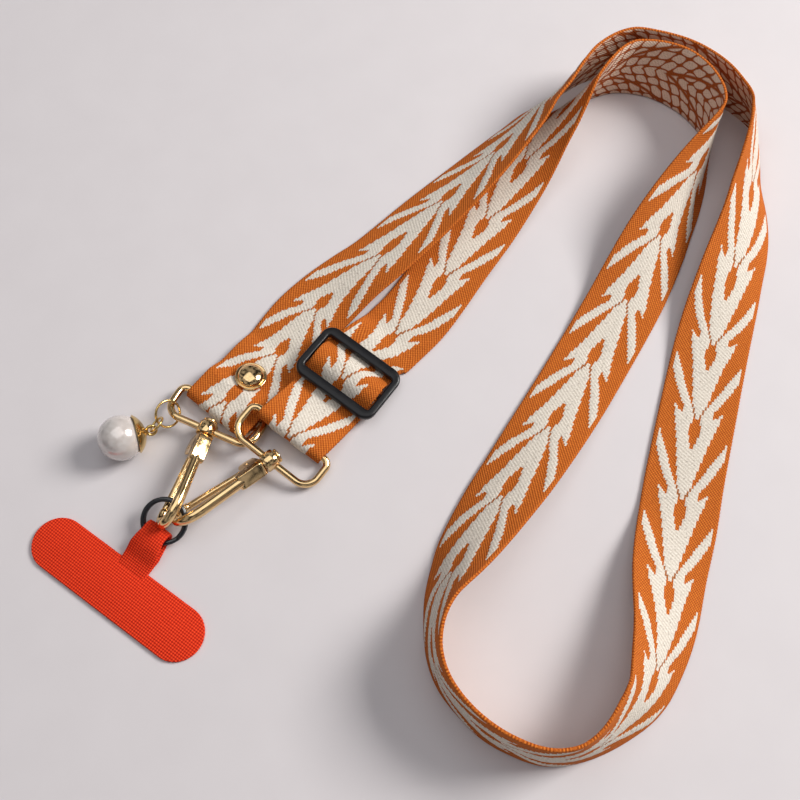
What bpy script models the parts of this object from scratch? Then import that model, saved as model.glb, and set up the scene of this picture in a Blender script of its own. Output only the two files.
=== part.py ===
"""Phone crossbody strap, laid on a table: a woven band in a loose loop, its slide buckle and rivet,
two D-rings with swivel snap hooks, the ring and tether tab that go to the phone case, and a pearl charm.
Metres, +Z up. The table is z = 0, +X runs to the right of the lay and +Y away from its front."""
import bpy
import bmesh
import math
import numpy as np
from mathutils import Matrix, Vector

for old in list(bpy.data.objects):
    bpy.data.objects.remove(old, do_unlink=True)

MM = 0.001
GAP = 0.3 * MM
POLE = 0.02 * MM

# Band
WEB_WIDTH = 25 * MM
WEB_THICK = 1.2 * MM
LAY_SPAN = 100 * MM
WEB_STEP = 4.2 * MM
FOLD_STEP = 3.0 * MM
WEAVE_STEP = 1.2 * MM
REST_SHARE = 0.54

# Slide buckle
SLIDER_LENGTH = 31 * MM
SLIDER_DEPTH = 21 * MM
SLIDER_BAR = 3.6 * MM
SLIDER_END = 2.6 * MM
SLIDER_THICK = 2.6 * MM
SLIDER_CORNER = 4.2 * MM
SLIDER_WINDOW_CORNER = 0.9 * MM
SLIDER_PIN_RADIUS = 1.0 * MM
SLIDER_ROLL = 7.0
SLIDER_X = -0.172
SLIDER_Y = 0.076
SLIDER_HEADING = 234.1
SLIDER_FAR_LIFT = 2.4 * MM
SLIDER_NEAR_LIFT = 3.9 * MM

# Rivet
RIVET_RIM_RADIUS = 5.2 * MM
RIVET_RIM_THICK = 0.9 * MM
RIVET_DOME_RADIUS = 3.7 * MM
RIVET_DOME_HEIGHT = 2.3 * MM
RIVET_EDGE = 0.25 * MM
RIVET_POST_RADIUS = 0.9 * MM
RIVET_SEAT = 3.2
RIVET_DEPTH = 18.0 * MM
RIVET_LEAN = 11.5

# D-rings
DEE_WIDTH = 30.6 * MM
DEE_DEPTH = 11.4 * MM
DEE_WIRE = 1.2 * MM
DEE_CORNER = 5.0 * MM
DEE_BAR_CORNER = 2.4 * MM
DEE_1_BAR_HEADING = -24.0
DEE_1_FACING = 246.0
DEE_1_PITCH = 12.5
DEE_1_BACK = 6.0 * MM
DEE_1_ASIDE = 1.0 * MM
DEE_2_RISE = 0.03
BARREL_RADIUS = 3.1 * MM
BARREL_LENGTH = 4.2 * MM

# Snap hooks
POST_RADIUS = 1.6 * MM
POST_HEAD_RADIUS = 2.4 * MM
POST_HEAD_THICK = 1.0 * MM
POST_REACH = 3.4 * MM
COLLAR_LENGTH = 2.2 * MM
BITE = 0.2 * MM
HOOK_REACH = 34.0 * MM
HOOK_BAR_SIDE = 1.35 * MM
HOOK_BAR_DEEP = 1.6 * MM
SHOULDER_HALF = 2.3 * MM
PIN_RADIUS = 0.7 * MM
GATE_SIDE = 1.1 * MM
GATE_DEEP = 1.25 * MM
KNUCKLE_RADIUS = 1.9 * MM
KNUCKLE_ROOM = 0.6 * MM
SLOT_LENGTH = 9.0 * MM
SLOT_RISE = 6.0 * MM

# Tether ring and tab
LOOP_RADIUS = 6.7 * MM
LOOP_WIRE = 0.95 * MM
TAB_LENGTH = 64.3 * MM
TAB_WIDTH = 17.1 * MM
TAB_THICK = 1.0 * MM
STEM_WIDTH = 10.4 * MM
STEM_FOLD_WIDTH = 8.2 * MM
STEM_LENGTH = 11.35 * MM
STEM_BEND = 2.0
STEM_FOLD_HEIGHT = 3.48
STEM_TAPER = ((5 * MM, 10 * MM), (STEM_WIDTH, STEM_FOLD_WIDTH))
STEM_WAY = (0.574, 0.819, 0)
TAB_PLACE = (-0.8149, -0.5528, 0)
LOOP_PLACE = (-0.7274, -0.4243, 0.05)
LOOP_TILT = 21.0
LOOP_LEAN = -8.0

# Pearl charm
PEARL_RADIUS = 7.25 * MM
CUP_THICK = 0.5 * MM
CUP_SPREAD = 52.0
CUP_LOOP_RADIUS = 1.5 * MM
CUP_LOOP_WIRE = 0.5 * MM
CHARM_WIRE = 0.4 * MM
CHARM_SMALL_RADIUS = 2.7 * MM
CHARM_LARGE_RADIUS = 4.3 * MM
PEARL_PLACE = (-0.884, -0.16, 0.0735)
PEARL_AXIS = (0.92, 0.34, -0.20)
CUP_LOOP_FACE = (0.2, -0.7, 0.7)

# The band's way round the table. Columns: x, y of its middle as shares of LAY_SPAN, and roll in degrees,
# plus where the edge on the right of travel is up. It stands on its low edge.
ROUTE = (
    (-0.325, 0.284, 2),
    (-0.246, 0.367, 6),
    (-0.157, 0.444, 14),
    (-0.067, 0.517, 19),
    (0.095, 0.675, 23),
    (0.261, 0.837, 33),
    (0.423, 1.006, 47),
    (0.499, 1.095, 57),
    (0.564, 1.150, 66),
    (0.620, 1.213, 73),
    (0.675, 1.267, 79),
    (0.729, 1.303, 83),
    (0.790, 1.329, 87),
    (0.849, 1.337, 90),
    (0.923, 1.323, 90),
    (1.017, 1.295, 88),
    (1.096, 1.254, 85),
    (1.168, 1.198, 81),
    (1.225, 1.130, 76),
    (1.267, 1.055, 71),
    (1.260, 0.948, 67),
    (1.236, 0.834, 60),
    (1.217, 0.725, 47),
    (1.199, 0.634, 38),
    (1.171, 0.543, 30),
    (1.135, 0.448, 23),
    (1.063, 0.242, 7),
    (0.999, 0.037, 0),
    (0.913, -0.250, 0),
    (0.867, -0.418, 2),
    (0.820, -0.574, 15),
    (0.779, -0.752, 32),
    (0.727, -0.894, 47),
    (0.690, -0.959, 56),
    (0.635, -1.016, 65),
    (0.568, -1.071, 75),
    (0.490, -1.109, 82),
    (0.403, -1.116, 84),
    (0.321, -1.091, 85),
    (0.244, -1.049, 85),
    (0.179, -0.990, 86),
    (0.125, -0.918, 85),
    (0.098, -0.835, 83),
    (0.100, -0.746, 78),
    (0.122, -0.663, 68),
    (0.162, -0.588, 55),
    (0.206, -0.514, 43),
    (0.297, -0.379, 29),
    (0.394, -0.241, 19),
    (0.540, -0.020, 6),
    (0.658, 0.171, 0),
    (0.772, 0.362, -6),
    (0.877, 0.552, -25),
    (0.932, 0.649, -38),
    (0.990, 0.746, -50),
    (1.054, 0.856, -66),
    (1.098, 0.940, -80),
    (1.123, 1.010, -90),
    (1.118, 1.069, -95),
    (1.080, 1.150, -100),
    (1.014, 1.219, -103),
    (0.928, 1.258, -100),
    (0.841, 1.267, -96),
    (0.794, 1.253, -90),
    (0.754, 1.229, -84),
    (0.678, 1.170, -72),
    (0.606, 1.097, -54),
    (0.560, 1.047, -42),
    (0.498, 0.978, -28),
    (0.448, 0.906, -18),
    (0.394, 0.822, -10),
    (0.296, 0.667, -4),
    (0.195, 0.518, -3),
    (0.114, 0.394, -2),
    (0.046, 0.301, 0),
    (-0.025, 0.225, 0),
    (-0.062, 0.187, 5),
)

# The fold round D-ring 1. Columns: way back along the band from the fold's front, and height of the band's
# middle, in band thicknesses. The first row is the cut end, under the band.
FOLD_1 = ((20.5, 0.54), (13.0, 0.54), (8.0, 0.54), (4.2, 0.54))
FOLD_1_TOP = (
    (4.2, 4.04), (7.0, 4.04), (9.7, 4.0), (11.6, 3.1), (13.4, 2.1), (15.4, 1.8), (20.0, 1.8), (23.0, 1.3),
    (26.0, 0.54),
)
FOLD_1_X = -0.602
FOLD_1_Y = -0.076
FOLD_1_HEADING = 51.0

# The band through the slide buckle. Columns: way past the middle bar, and height over the lower layer,
# in thicknesses.
WEAVE = (
    (-10.0, 0.0), (-8.8, 0.0), (-7.2, 0.02), (-5.7, 0.25), (-4.4, 1.0), (-3.1, 2.65), (-1.9, 3.95),
    (-0.7, 4.42), (0.7, 4.5), (2.1, 4.25), (3.4, 3.45), (4.6, 2.2), (5.5, 1.38), (7.2, 1.25), (10.0, 1.25),
    (13.5, 1.45), (17.0, 2.3), (20.0, 3.25), (22.9, 3.5),
)
# Columns: way past the middle bar in thicknesses, and share of SLIDER_ROLL.
WEAVE_ROLL = ((-10.0, 1.0), (9.5, 1.0), (17.0, 1.75), (22.9, 1.9), (26.0, 1.9))
# The cut end's hook round the middle bar. Columns: way past the bar, and drop from the bend's top,
# in thicknesses.
CURL_END = ((1.2, 0.1), (2.1, 0.5))
DEE_2_WAY = 27.5 * MM
DEE_2_DRIFT = 1.9 * MM
ENTRY_WAY = 12.0 * MM
ENTRY_DRIFT = 1.2 * MM

# Hook outlines. Columns: shares of HOOK_REACH along the hook from its swivel, and toward the gate side.
HOOK_ARM = (
    (0.15, -0.020), (0.265, -0.056), (0.44, -0.079), (0.65, -0.103), (0.79, -0.115), (0.897, -0.094),
    (0.97, -0.035), (1.0, 0.041), (0.976, 0.124), (0.912, 0.176), (0.833, 0.182),
)
SHOULDER = (
    (0.078, -0.070), (0.078, 0.070), (0.105, 0.142), (0.165, 0.172), (0.235, 0.165), (0.272, 0.120),
    (0.280, 0.020), (0.350, -0.022), (0.350, -0.100), (0.180, -0.098),
)
GATE_PIN = (0.194, 0.106)
GATE_TIP = (0.8205, 0.176)
# Columns: share of the arm's length, and of its bar's size.
ARM_TAPER = ((0, 1.05), (0.55, 1.05), (0.8, 1.0), (1, 0.86))
HOOK_1_WAY = (-9.34, -32.03, 5.5)
HOOK_1_ROLL = -58
HOOK_2_WAY = (-27.5, -20.8, 2.0)
HOOK_2_ROLL = -51

# The tab's stem. Columns: way along it, height of its middle, and share of LOOP_LEAN, in tab thicknesses.
STEM_LOW = ((-3.0, 0.5, 0), (2.0, 0.5, 0), (6.0, 0.5, 0), (8.6, 0.6, 0.15), (9.9, 0.95, 0.55))
STEM_HIGH = (
    (9.6, 5.4, 1), (8.0, 5.05, 0.9), (6.0, 4.2, 0.6), (4.0, 2.9, 0.3), (2.2, 1.9, 0.1), (0.4, 1.35, 0),
    (-2.4, 1.3, 0),
)

# Jump rings. Columns: name, place as shares of LAY_SPAN, face, radius.
CHARM_RINGS = (
    ("charm_ring_small", (-0.778, -0.11, 0.062), (-0.663, 0.383, 0.643), CHARM_SMALL_RADIUS),
    ("charm_ring_large", (-0.746, -0.071, 0.056), (0.663, -0.383, 0.643), CHARM_LARGE_RADIUS),
)


def material(name, colour, roughness, metallic):
    """A plain Principled material."""
    made = bpy.data.materials.new(name)
    made.use_nodes = True
    shader = made.node_tree.nodes["Principled BSDF"]
    shader.inputs["Base Color"].default_value = (*colour, 1)
    shader.inputs["Roughness"].default_value = roughness
    shader.inputs["Metallic"].default_value = metallic
    return made


WOVEN = material("woven_band", (0.63, 0.23, 0.07), 0.85, 0)
GOLD = material("pale_gold", (0.86, 0.70, 0.42), 0.18, 1)
BLACK = material("black_finish", (0.02, 0.02, 0.022), 0.35, 0)
BLACK_RING = material("black_ring", (0.02, 0.02, 0.022), 0.15, 1)
RED = material("red_weave", (0.68, 0.06, 0.02), 0.8, 0)
PEARL = material("nacre", (0.88, 0.84, 0.80), 0.2, 0)


def unit(v):
    """The vector at length one."""
    v = np.asarray(v, float)
    return v / np.linalg.norm(v)


def heading(degrees):
    """Level unit vector at this angle from +X."""
    a = math.radians(degrees)
    return np.array([math.cos(a), math.sin(a), 0.0])


def smooth(points, step):
    """Catmull-Rom curve through the rows of points, read about every step of its first three columns."""
    p = np.asarray(points, float)
    q = np.vstack([2 * p[0] - p[1], p, 2 * p[-1] - p[-2]])
    out = []
    for a, b, c, d in zip(q[:-3], q[1:-2], q[2:-1], q[3:]):
        count = max(1, int(round(np.linalg.norm((c - b)[:3]) / step)))
        t = (np.arange(count) / count)[:, None]
        square = (2 * a - 5 * b + 4 * c - d) * t**2
        out.append(0.5 * (2 * b + (c - a) * t + square + (3 * b - a - 3 * c + d) * t**3))
    out.append(p[-1:])
    return np.vstack(out)


def add(name, bm, finish, origin=(0, 0, 0)):
    """Makes one object of a bmesh whose points are in the lay's frame, with its origin at the given place."""
    bmesh.ops.recalc_face_normals(bm, faces=bm.faces)
    mesh = bpy.data.meshes.new(name)
    bm.transform(Matrix.Translation(-Vector(origin)))
    bm.to_mesh(mesh)
    bm.free()
    thing = bpy.data.objects.new(name, mesh)
    thing.location = Vector(origin)
    bpy.context.scene.collection.objects.link(thing)
    if finish:
        mesh.materials.append(finish)
    mesh.shade_smooth()
    mesh.set_sharp_from_angle(angle=math.radians(40))
    return thing


def combine(target, tools, operation, folded=False):
    """Joins the tools to the target or cuts them from it, and removes them. A folded one meets itself."""
    for tool in tools:
        bpy.context.view_layer.update()
        step = target.modifiers.new(operation.lower(), "BOOLEAN")
        step.operation = operation
        step.object = tool
        step.solver = "EXACT"
        step.use_self = folded
        graph = bpy.context.evaluated_depsgraph_get()
        mesh = bpy.data.meshes.new_from_object(target.evaluated_get(graph))
        target.modifiers.remove(step)
        target.data = mesh
        bpy.data.objects.remove(tool, do_unlink=True)
    target.data.shade_smooth()
    target.data.set_sharp_from_angle(angle=math.radians(40))
    return target


def rings_to_bmesh(rings, closed):
    """Skins a row of equal rings of points, joined end to start if closed and capped if not."""
    bm = bmesh.new()
    made = [[bm.verts.new(p) for p in ring] for ring in rings]
    count = len(made[0])
    pairs = list(zip(made[:-1], made[1:]))
    if closed:
        pairs.append((made[-1], made[0]))
    for one, two in pairs:
        for k in range(count):
            bm.faces.new((one[k], one[(k + 1) % count], two[(k + 1) % count], two[k]))
    if not closed:
        bm.faces.new(made[0][::-1])
        bm.faces.new(made[-1])
    return bm


def wire(path, normal, side, deep, sides, closed):
    """A bar along a path that lies in the plane of normal, with its half widths in that plane and across it."""
    path = np.asarray(path, float)
    ahead = np.roll(path, -1, 0) - np.roll(path, 1, 0)
    if not closed:
        ahead[0] = path[1] - path[0]
        ahead[-1] = path[-1] - path[-2]
    out = np.cross(ahead, normal)
    out /= np.linalg.norm(out, axis=1)[:, None]
    turn = (np.arange(sides) + 0.5) * 2 * math.pi / sides
    side = np.broadcast_to(side, len(path))
    deep = np.broadcast_to(deep, len(path))
    rings = [p + s * np.cos(turn)[:, None] * o + d * np.sin(turn)[:, None] * np.asarray(normal)
             for p, o, s, d in zip(path, out, side, deep)]
    return rings_to_bmesh(rings, closed)


def rod(centre, axis, radius, low, high, sides):
    """A round rod along axis, from low to high past the centre."""
    axis = unit(axis)
    across = unit(np.cross(axis, (0.31, 0.52, 0.79)))
    up = np.cross(axis, across)
    turn = np.arange(sides) * 2 * math.pi / sides
    ring = radius * (np.cos(turn)[:, None] * across + np.sin(turn)[:, None] * up)
    ends = [np.asarray(centre) + axis * way + ring for way in (low, high)]
    return rings_to_bmesh(ends, False)


def ribbon(middle, side, width, thick):
    """A flat band round a middle line, with the unit vectors across it toward its right edge."""
    middle = np.asarray(middle, float)
    ahead = np.gradient(middle, axis=0)
    over = np.cross(side, ahead)
    over /= np.linalg.norm(over, axis=1)[:, None]
    half = side * width / 2
    rise = over * thick / 2
    left = middle - half
    right = middle + half
    return rings_to_bmesh(np.stack([left - rise, right - rise, right + rise, left + rise], axis=1), False)


def turned(centre, axis, profile, sides):
    """A round solid about axis: profile rows are radius and way along the axis, from pole to pole."""
    axis = unit(axis)
    across = unit(np.cross(axis, (0.31, 0.52, 0.79)))
    up = np.cross(axis, across)
    turn = np.arange(sides) * 2 * math.pi / sides
    circle = np.cos(turn)[:, None] * across + np.sin(turn)[:, None] * up
    rings = [np.asarray(centre) + axis * z + circle * r for r, z in profile]
    return rings_to_bmesh(rings, False)


def web_route():
    """Middle line and side vectors of the whole band, from the cut end at D-ring 1 to the one at the slider."""
    rows = [(x * LAY_SPAN, y * LAY_SPAN, 0, roll) for x, y, roll in ROUTE]
    front = np.array([FOLD_1_X, FOLD_1_Y, 0]) * LAY_SPAN
    along = heading(FOLD_1_HEADING)
    across = np.array([along[1], -along[0], 0])
    up = np.array([0, 0, 1.0])
    bend = (FOLD_1_TOP[0][1] - FOLD_1[-1][1]) / 2 * WEB_THICK
    fold_z = (FOLD_1_TOP[0][1] + FOLD_1[-1][1]) / 2 * WEB_THICK
    nose = bend + WEB_THICK / 2
    under = [front + along * s * WEB_THICK + up * z * WEB_THICK for s, z in FOLD_1[:-1]]
    turn = np.radians(np.linspace(-90, 90, 9))
    round_bar = [front + along * (nose - bend * math.cos(a)) + up * (fold_z + bend * math.sin(a)) for a in turn]
    over = [front + along * s * WEB_THICK + up * z * WEB_THICK for s, z in FOLD_1_TOP]
    first = smooth(under + round_bar + over, FOLD_STEP)
    first_side = np.repeat(across[None], len(first), 0)
    bar_1 = front + up * fold_z

    place = np.array([SLIDER_X, SLIDER_Y, 0]) * LAY_SPAN
    on = heading(SLIDER_HEADING)
    right = np.array([on[1], -on[0], 0])
    roll_way = np.array([s for s, f in WEAVE_ROLL]) * WEB_THICK
    roll_share = np.array([f for s, f in WEAVE_ROLL])

    def weave_point(way, lift, drift_way):
        roll = math.radians(SLIDER_ROLL * float(np.interp(way, roll_way, roll_share)))
        tilt = right * math.cos(roll) + up * math.sin(roll)
        normal = up * math.cos(roll) - right * math.sin(roll)
        drift = DEE_2_DRIFT * max(0.0, drift_way / DEE_2_WAY) ** 2
        drift -= ENTRY_DRIFT * max(0.0, -drift_way / ENTRY_WAY) ** 6
        base = place + on * way + right * drift
        z = WEB_THICK * REST_SHARE + WEB_WIDTH / 2 * math.sin(roll)
        return base + up * z + normal * lift, tilt, normal

    weave = smooth([(s * WEB_THICK, h * WEB_THICK, 0) for s, h in WEAVE], WEAVE_STEP)
    second = [weave_point(s, h, s)[:2] for s, h, _ in weave]
    turn = np.radians(np.linspace(80, -90, 10))
    bend_2 = WEAVE[-1][1] * WEB_THICK / 2
    end_way = WEAVE[-1][0] * WEB_THICK
    for a in turn:
        second.append(weave_point(end_way + bend_2 * math.cos(a), bend_2 + bend_2 * math.sin(a), end_way)[:2])
    for way in np.linspace(end_way - FOLD_STEP, FOLD_STEP / 2, 9):
        second.append(weave_point(way, 0, way)[:2])
    curl = SLIDER_PIN_RADIUS + GAP + WEB_THICK / 2
    for a in np.radians(np.linspace(-90, -270, 11)):
        second.append(weave_point(curl * math.cos(a), curl + curl * math.sin(a), 0)[:2])
    for way, drop in CURL_END:
        second.append(weave_point(way * WEB_THICK, 2 * curl - drop * WEB_THICK, 0)[:2])
    second_mid = np.array([p for p, t in second])
    second_side = np.array([t for p, t in second])

    lead = np.array([[*first[-1][:2], 0, 0]])
    lead_back = np.array([[*first[-4][:2], 0, 0]])
    tail = np.array([[*second_mid[0][:2], 0, 0]])
    tail_on = np.array([[*second_mid[3][:2], 0, 0]])
    run = smooth(np.vstack([lead_back, lead, rows, tail, tail_on]), WEB_STEP)
    keep = [k for k in range(len(run))
            if np.linalg.norm(run[k][:2] - lead[0][:2]) > WEB_STEP * 0.6
            and np.linalg.norm(run[k][:2] - tail[0][:2]) > WEB_STEP * 0.6]
    start = next(k for k in keep if np.dot(run[k][:2] - lead[0][:2], along[:2]) > 0)
    stop = max(k for k in keep if np.dot(run[k][:2] - tail[0][:2], on[:2]) < 0)
    flat = np.gradient(run[:, :2], axis=0)
    flat /= np.linalg.norm(flat, axis=1)[:, None]
    roll = np.radians(run[:, 3])
    level = np.stack([flat[:, 1], -flat[:, 0], 0 * roll], axis=1)
    side = level * np.cos(roll)[:, None] + up * np.sin(roll)[:, None]
    height = WEB_WIDTH / 2 * np.abs(np.sin(roll)) + WEB_THICK * REST_SHARE * np.abs(np.cos(roll))
    middle = np.stack([run[:, 0], run[:, 1], height], axis=1)
    middle = np.vstack([first, middle[start:stop + 1], second_mid])
    side = np.vstack([first_side, side[start:stop + 1], second_side])
    places = {"bar_1": bar_1, "along_1": along, "across_1": across,
              "weave": weave_point, "bar_2": weave_point(end_way, bend_2, end_way), "on": on, "right": right}
    return middle, side, places


def rounded_loop(width, depth, near, far, per_corner):
    """Points of a rectangle centred on x and from y = 0 to depth, with corner radii at y = 0 and at depth."""
    out = []
    half = width / 2
    for cx, cy, corner, first in ((half - near, near, near, -90), (half - far, depth - far, far, 0),
                                  (far - half, depth - far, far, 90), (near - half, near, near, 180)):
        for k in range(per_corner + 1):
            a = math.radians(first + 90 * k / per_corner)
            out.append((cx + corner * math.cos(a), cy + corner * math.sin(a)))
    return np.array(out)


def frame_solid(name, outer, inner, thick, matrix, finish):
    """A flat ring between two outlines with as many points each."""
    bm = bmesh.new()
    loops = []
    for outline, z in ((outer, thick / 2), (inner, thick / 2), (inner, -thick / 2), (outer, -thick / 2)):
        loops.append([bm.verts.new(matrix @ Vector((x, y, z))) for x, y in outline])
    for k in range(4):
        one, two = loops[k], loops[(k + 1) % 4]
        for i in range(len(one)):
            j = (i + 1) % len(one)
            bm.faces.new((one[i], one[j], two[j], two[i]))
    return add(name, bm, finish)


def matrix_of(x, y, z, origin):
    """The matrix that takes local axes to x, y and z at origin."""
    m = Matrix.Identity(4)
    for k, v in enumerate((x, y, z, origin)):
        for i in range(3):
            m[i][k] = float(v[i])
    return m


def build_slider(places):
    """Slide buckle: a rounded frame with its middle bar, its far bar on the band and its near bar over it."""
    bar_way = (SLIDER_DEPTH - SLIDER_BAR) / 2
    base, tilt, normal = places["weave"](0, 0, 0)
    slope = (SLIDER_NEAR_LIFT - SLIDER_FAR_LIFT) / (2 * bar_way)
    y = unit(places["on"] + normal * slope)
    x = unit(tilt)
    z = np.cross(x, y)
    middle = base + normal * (SLIDER_FAR_LIFT + SLIDER_NEAR_LIFT) / 2
    matrix = matrix_of(x, y, z, middle)
    outer = rounded_loop(SLIDER_LENGTH, SLIDER_DEPTH, SLIDER_CORNER, SLIDER_CORNER, 4) - (0, SLIDER_DEPTH / 2)
    window = SLIDER_DEPTH - 2 * SLIDER_BAR
    inside = SLIDER_WINDOW_CORNER
    inner = rounded_loop(SLIDER_LENGTH - 2 * SLIDER_END, window, inside, inside, 4) - (0, window / 2)
    slider = frame_solid("slider", outer, inner, SLIDER_THICK, matrix, BLACK)
    curl = SLIDER_PIN_RADIUS + GAP + WEB_THICK / 2
    pin_at = base + normal * curl
    reach = SLIDER_LENGTH / 2 - SLIDER_END / 2
    pin = add("slider_pin", rod(pin_at, x, SLIDER_PIN_RADIUS, -reach, reach, 12), BLACK)
    return combine(slider, [pin], "UNION")


def build_rivet(web, places, front):
    """Cap rivet: a rim with a dome, and a post down through both layers of the fold."""
    lean = math.radians(RIVET_LEAN)
    along = places["along_1"]
    up = np.array([0, 0, 1.0])
    axis = unit(up * math.cos(lean) + along * math.sin(lean))
    seat = front + along * RIVET_DEPTH + up * (WEB_THICK * RIVET_SEAT + GAP)
    steps = np.radians(np.linspace(0, 90, 6))
    rows = [(POLE, 0), (RIVET_RIM_RADIUS - RIVET_EDGE, 0), (RIVET_RIM_RADIUS, RIVET_EDGE),
            (RIVET_RIM_RADIUS - RIVET_EDGE, RIVET_RIM_THICK)]
    rows += [(RIVET_DOME_RADIUS * math.cos(a) + POLE, RIVET_RIM_THICK + RIVET_DOME_HEIGHT * math.sin(a))
             for a in steps]
    rivet = add("rivet", turned(seat, axis, rows, 24), GOLD)
    post_end = -(seat[2] - RIVET_EDGE) / axis[2]
    post = add("rivet_post", rod(seat, axis, RIVET_POST_RADIUS, post_end, RIVET_RIM_THICK / 2, 10), GOLD)
    combine(rivet, [post], "UNION")
    reach = RIVET_RIM_RADIUS / 2
    hole = add("rivet_hole", rod(seat, axis, RIVET_POST_RADIUS + GAP, post_end - reach, reach, 12), None)
    combine(web, [hole], "DIFFERENCE")


def build_dee(name, bar, x, y, hook_axis):
    """D-ring: a round wire loop with a swivel barrel let into its front, all soldered."""
    z = np.cross(x, y)
    loop = rounded_loop(DEE_WIDTH, DEE_DEPTH, DEE_BAR_CORNER, DEE_CORNER, 5)
    path = [bar + x * px + y * py for px, py in loop]
    ring = add(name, wire(path, z, DEE_WIRE, DEE_WIRE, 10, True), GOLD)
    swivel = bar + y * DEE_DEPTH
    half = BARREL_LENGTH / 2
    barrel = add("barrel", rod(swivel, hook_axis, BARREL_RADIUS, -half, half, 16), GOLD)
    hole = add("hole", rod(swivel, hook_axis, POST_RADIUS + GAP, -2 * half, 2 * half, 14), None)
    combine(ring, [barrel], "UNION")
    combine(ring, [hole], "DIFFERENCE")
    return swivel


def build_hook(number, swivel, direction, roll):
    """Snap hook: post and head in the barrel, shoulder with the gate's pin, arm, bow and nose, and its gate."""
    x = unit(direction)
    level = -unit(np.cross((0, 0, 1.0), x))
    rise = np.cross(x, level)
    rise = rise if rise[2] > 0 else -rise
    a = math.radians(roll)
    y = math.cos(a) * level + math.sin(a) * rise
    z = np.cross(x, y)

    def at(px, py, pz=0.0):
        return swivel + (x * px + y * py) * HOOK_REACH + z * pz

    arm_path = smooth([at(px, py) for px, py in HOOK_ARM], HOOK_REACH / 14)
    taper = np.interp(np.linspace(0, 1, len(arm_path)), *zip(*ARM_TAPER))
    bar = wire(arm_path, z, HOOK_BAR_SIDE * taper, HOOK_BAR_DEEP * taper, 12, False)
    body = add(f"hook_{number}", bar, GOLD, swivel)
    shoulder_rings = [[at(px, py, pz) for px, py in SHOULDER] for pz in (-SHOULDER_HALF, SHOULDER_HALF)]
    shoulder = add("shoulder", rings_to_bmesh(shoulder_rings, False), GOLD)
    pin_at = at(*GATE_PIN)
    slot_low = KNUCKLE_RADIUS + KNUCKLE_ROOM
    slot_half = GATE_DEEP + GAP
    tip = at(*GATE_TIP)
    gate_way = unit(tip - pin_at)
    gate_out = unit(np.cross(z, gate_way))
    gate_out = gate_out if np.dot(gate_out, y) > 0 else -gate_out
    corners = [(cx, cy) for cx, cy in ((-slot_low, -slot_low), (SLOT_LENGTH, -slot_low),
                                       (SLOT_LENGTH, SLOT_RISE), (-slot_low, SLOT_RISE))]
    slot_rings = [[pin_at + gate_way * cx + gate_out * cy + z * cz for cx, cy in corners]
                  for cz in (-slot_half, slot_half)]
    slot = add("slot", rings_to_bmesh(slot_rings, False), None)
    combine(shoulder, [slot], "DIFFERENCE")
    pin_half = SHOULDER_HALF - POLE
    pin = add("pin", rod(pin_at, z, PIN_RADIUS, -pin_half, pin_half, 10), GOLD)
    collar = BARREL_LENGTH / 2 + GAP
    post = add("post", rod(swivel, x, POST_RADIUS, -collar - BITE, POST_REACH, 14), GOLD)
    neck = add("neck", rod(swivel, x, POST_HEAD_RADIUS, collar, collar + COLLAR_LENGTH, 14), GOLD)
    head = add("head", rod(swivel, x, POST_HEAD_RADIUS, -collar - POST_HEAD_THICK, -collar, 14), GOLD)
    combine(body, [shoulder, pin, neck, post, head], "UNION")
    gate_path = [pin_at + (tip - pin_at) * t for t in np.linspace(0, 1, 4)]
    gate = add(f"gate_{number}", wire(gate_path, z, GATE_SIDE, GATE_DEEP, 10, False), GOLD, pin_at)
    knuckle = add("knuckle", rod(pin_at, z, KNUCKLE_RADIUS, -GATE_DEEP, GATE_DEEP, 14), GOLD)
    combine(gate, [knuckle], "UNION")
    bore = add("bore", rod(pin_at, z, PIN_RADIUS + GAP, -2 * GATE_DEEP, 2 * GATE_DEEP, 12), None)
    combine(gate, [bore], "DIFFERENCE")
    print(f"hook_{number}: swivel at {swivel}, axis {x}, gate pin at {pin_at}, axis {z}")


def build_tether():
    """Black ring, and the tab whose stem is folded round it and sewn to the pad."""
    stem = unit(STEM_WAY)
    across = np.array([stem[1], -stem[0], 0])
    up = np.array([0, 0, 1.0])
    pad_way = -across
    base = np.array(TAB_PLACE) * LAY_SPAN
    centre = np.array(LOOP_PLACE) * LAY_SPAN
    tilt = math.radians(LOOP_TILT)
    lean = math.radians(LOOP_LEAN)
    far = stem * math.cos(tilt) + up * math.sin(tilt)
    normal = np.cross(across, far)
    side = across * math.cos(lean) + normal * math.sin(lean)
    turn = np.arange(28) * 2 * math.pi / 28
    path = [centre + LOOP_RADIUS * (math.cos(t) * far + math.sin(t) * side) for t in turn]
    add("tether_ring", wire(path, unit(np.cross(side, far)), LOOP_WIRE, LOOP_WIRE, 12, True), BLACK_RING)

    half = TAB_WIDTH / 2
    pad_middle = base - stem * half
    straight = TAB_LENGTH / 2 - half
    outline = []
    for sign, first in ((1, -90), (-1, 90)):
        for k in range(11):
            a = math.radians(first + 18 * k)
            way = sign * straight + half * math.cos(a)
            outline.append(pad_middle + pad_way * way + stem * half * math.sin(a))
    pad = add("phone_tab", rings_to_bmesh([outline, [p + up * TAB_THICK for p in outline]], False), RED)
    t = TAB_THICK
    fold = [(STEM_LENGTH / t + STEM_BEND * math.cos(a), STEM_FOLD_HEIGHT + STEM_BEND * math.sin(a), 1)
            for a in np.radians(np.linspace(-90, 90, 9))]
    rows = np.array([*STEM_LOW, *fold, *STEM_HIGH])
    middle = np.array([base + stem * s * t + up * h * t for s, h, f in rows])
    tips = np.array([across * math.cos(lean * f) + up * math.sin(lean * f) for s, h, f in rows])
    width = np.interp(rows[:, 0] * t, *STEM_TAPER)[:, None]
    band = add("stem", ribbon(middle, tips, width, TAB_THICK), RED)
    combine(pad, [band], "UNION", folded=True)


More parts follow.
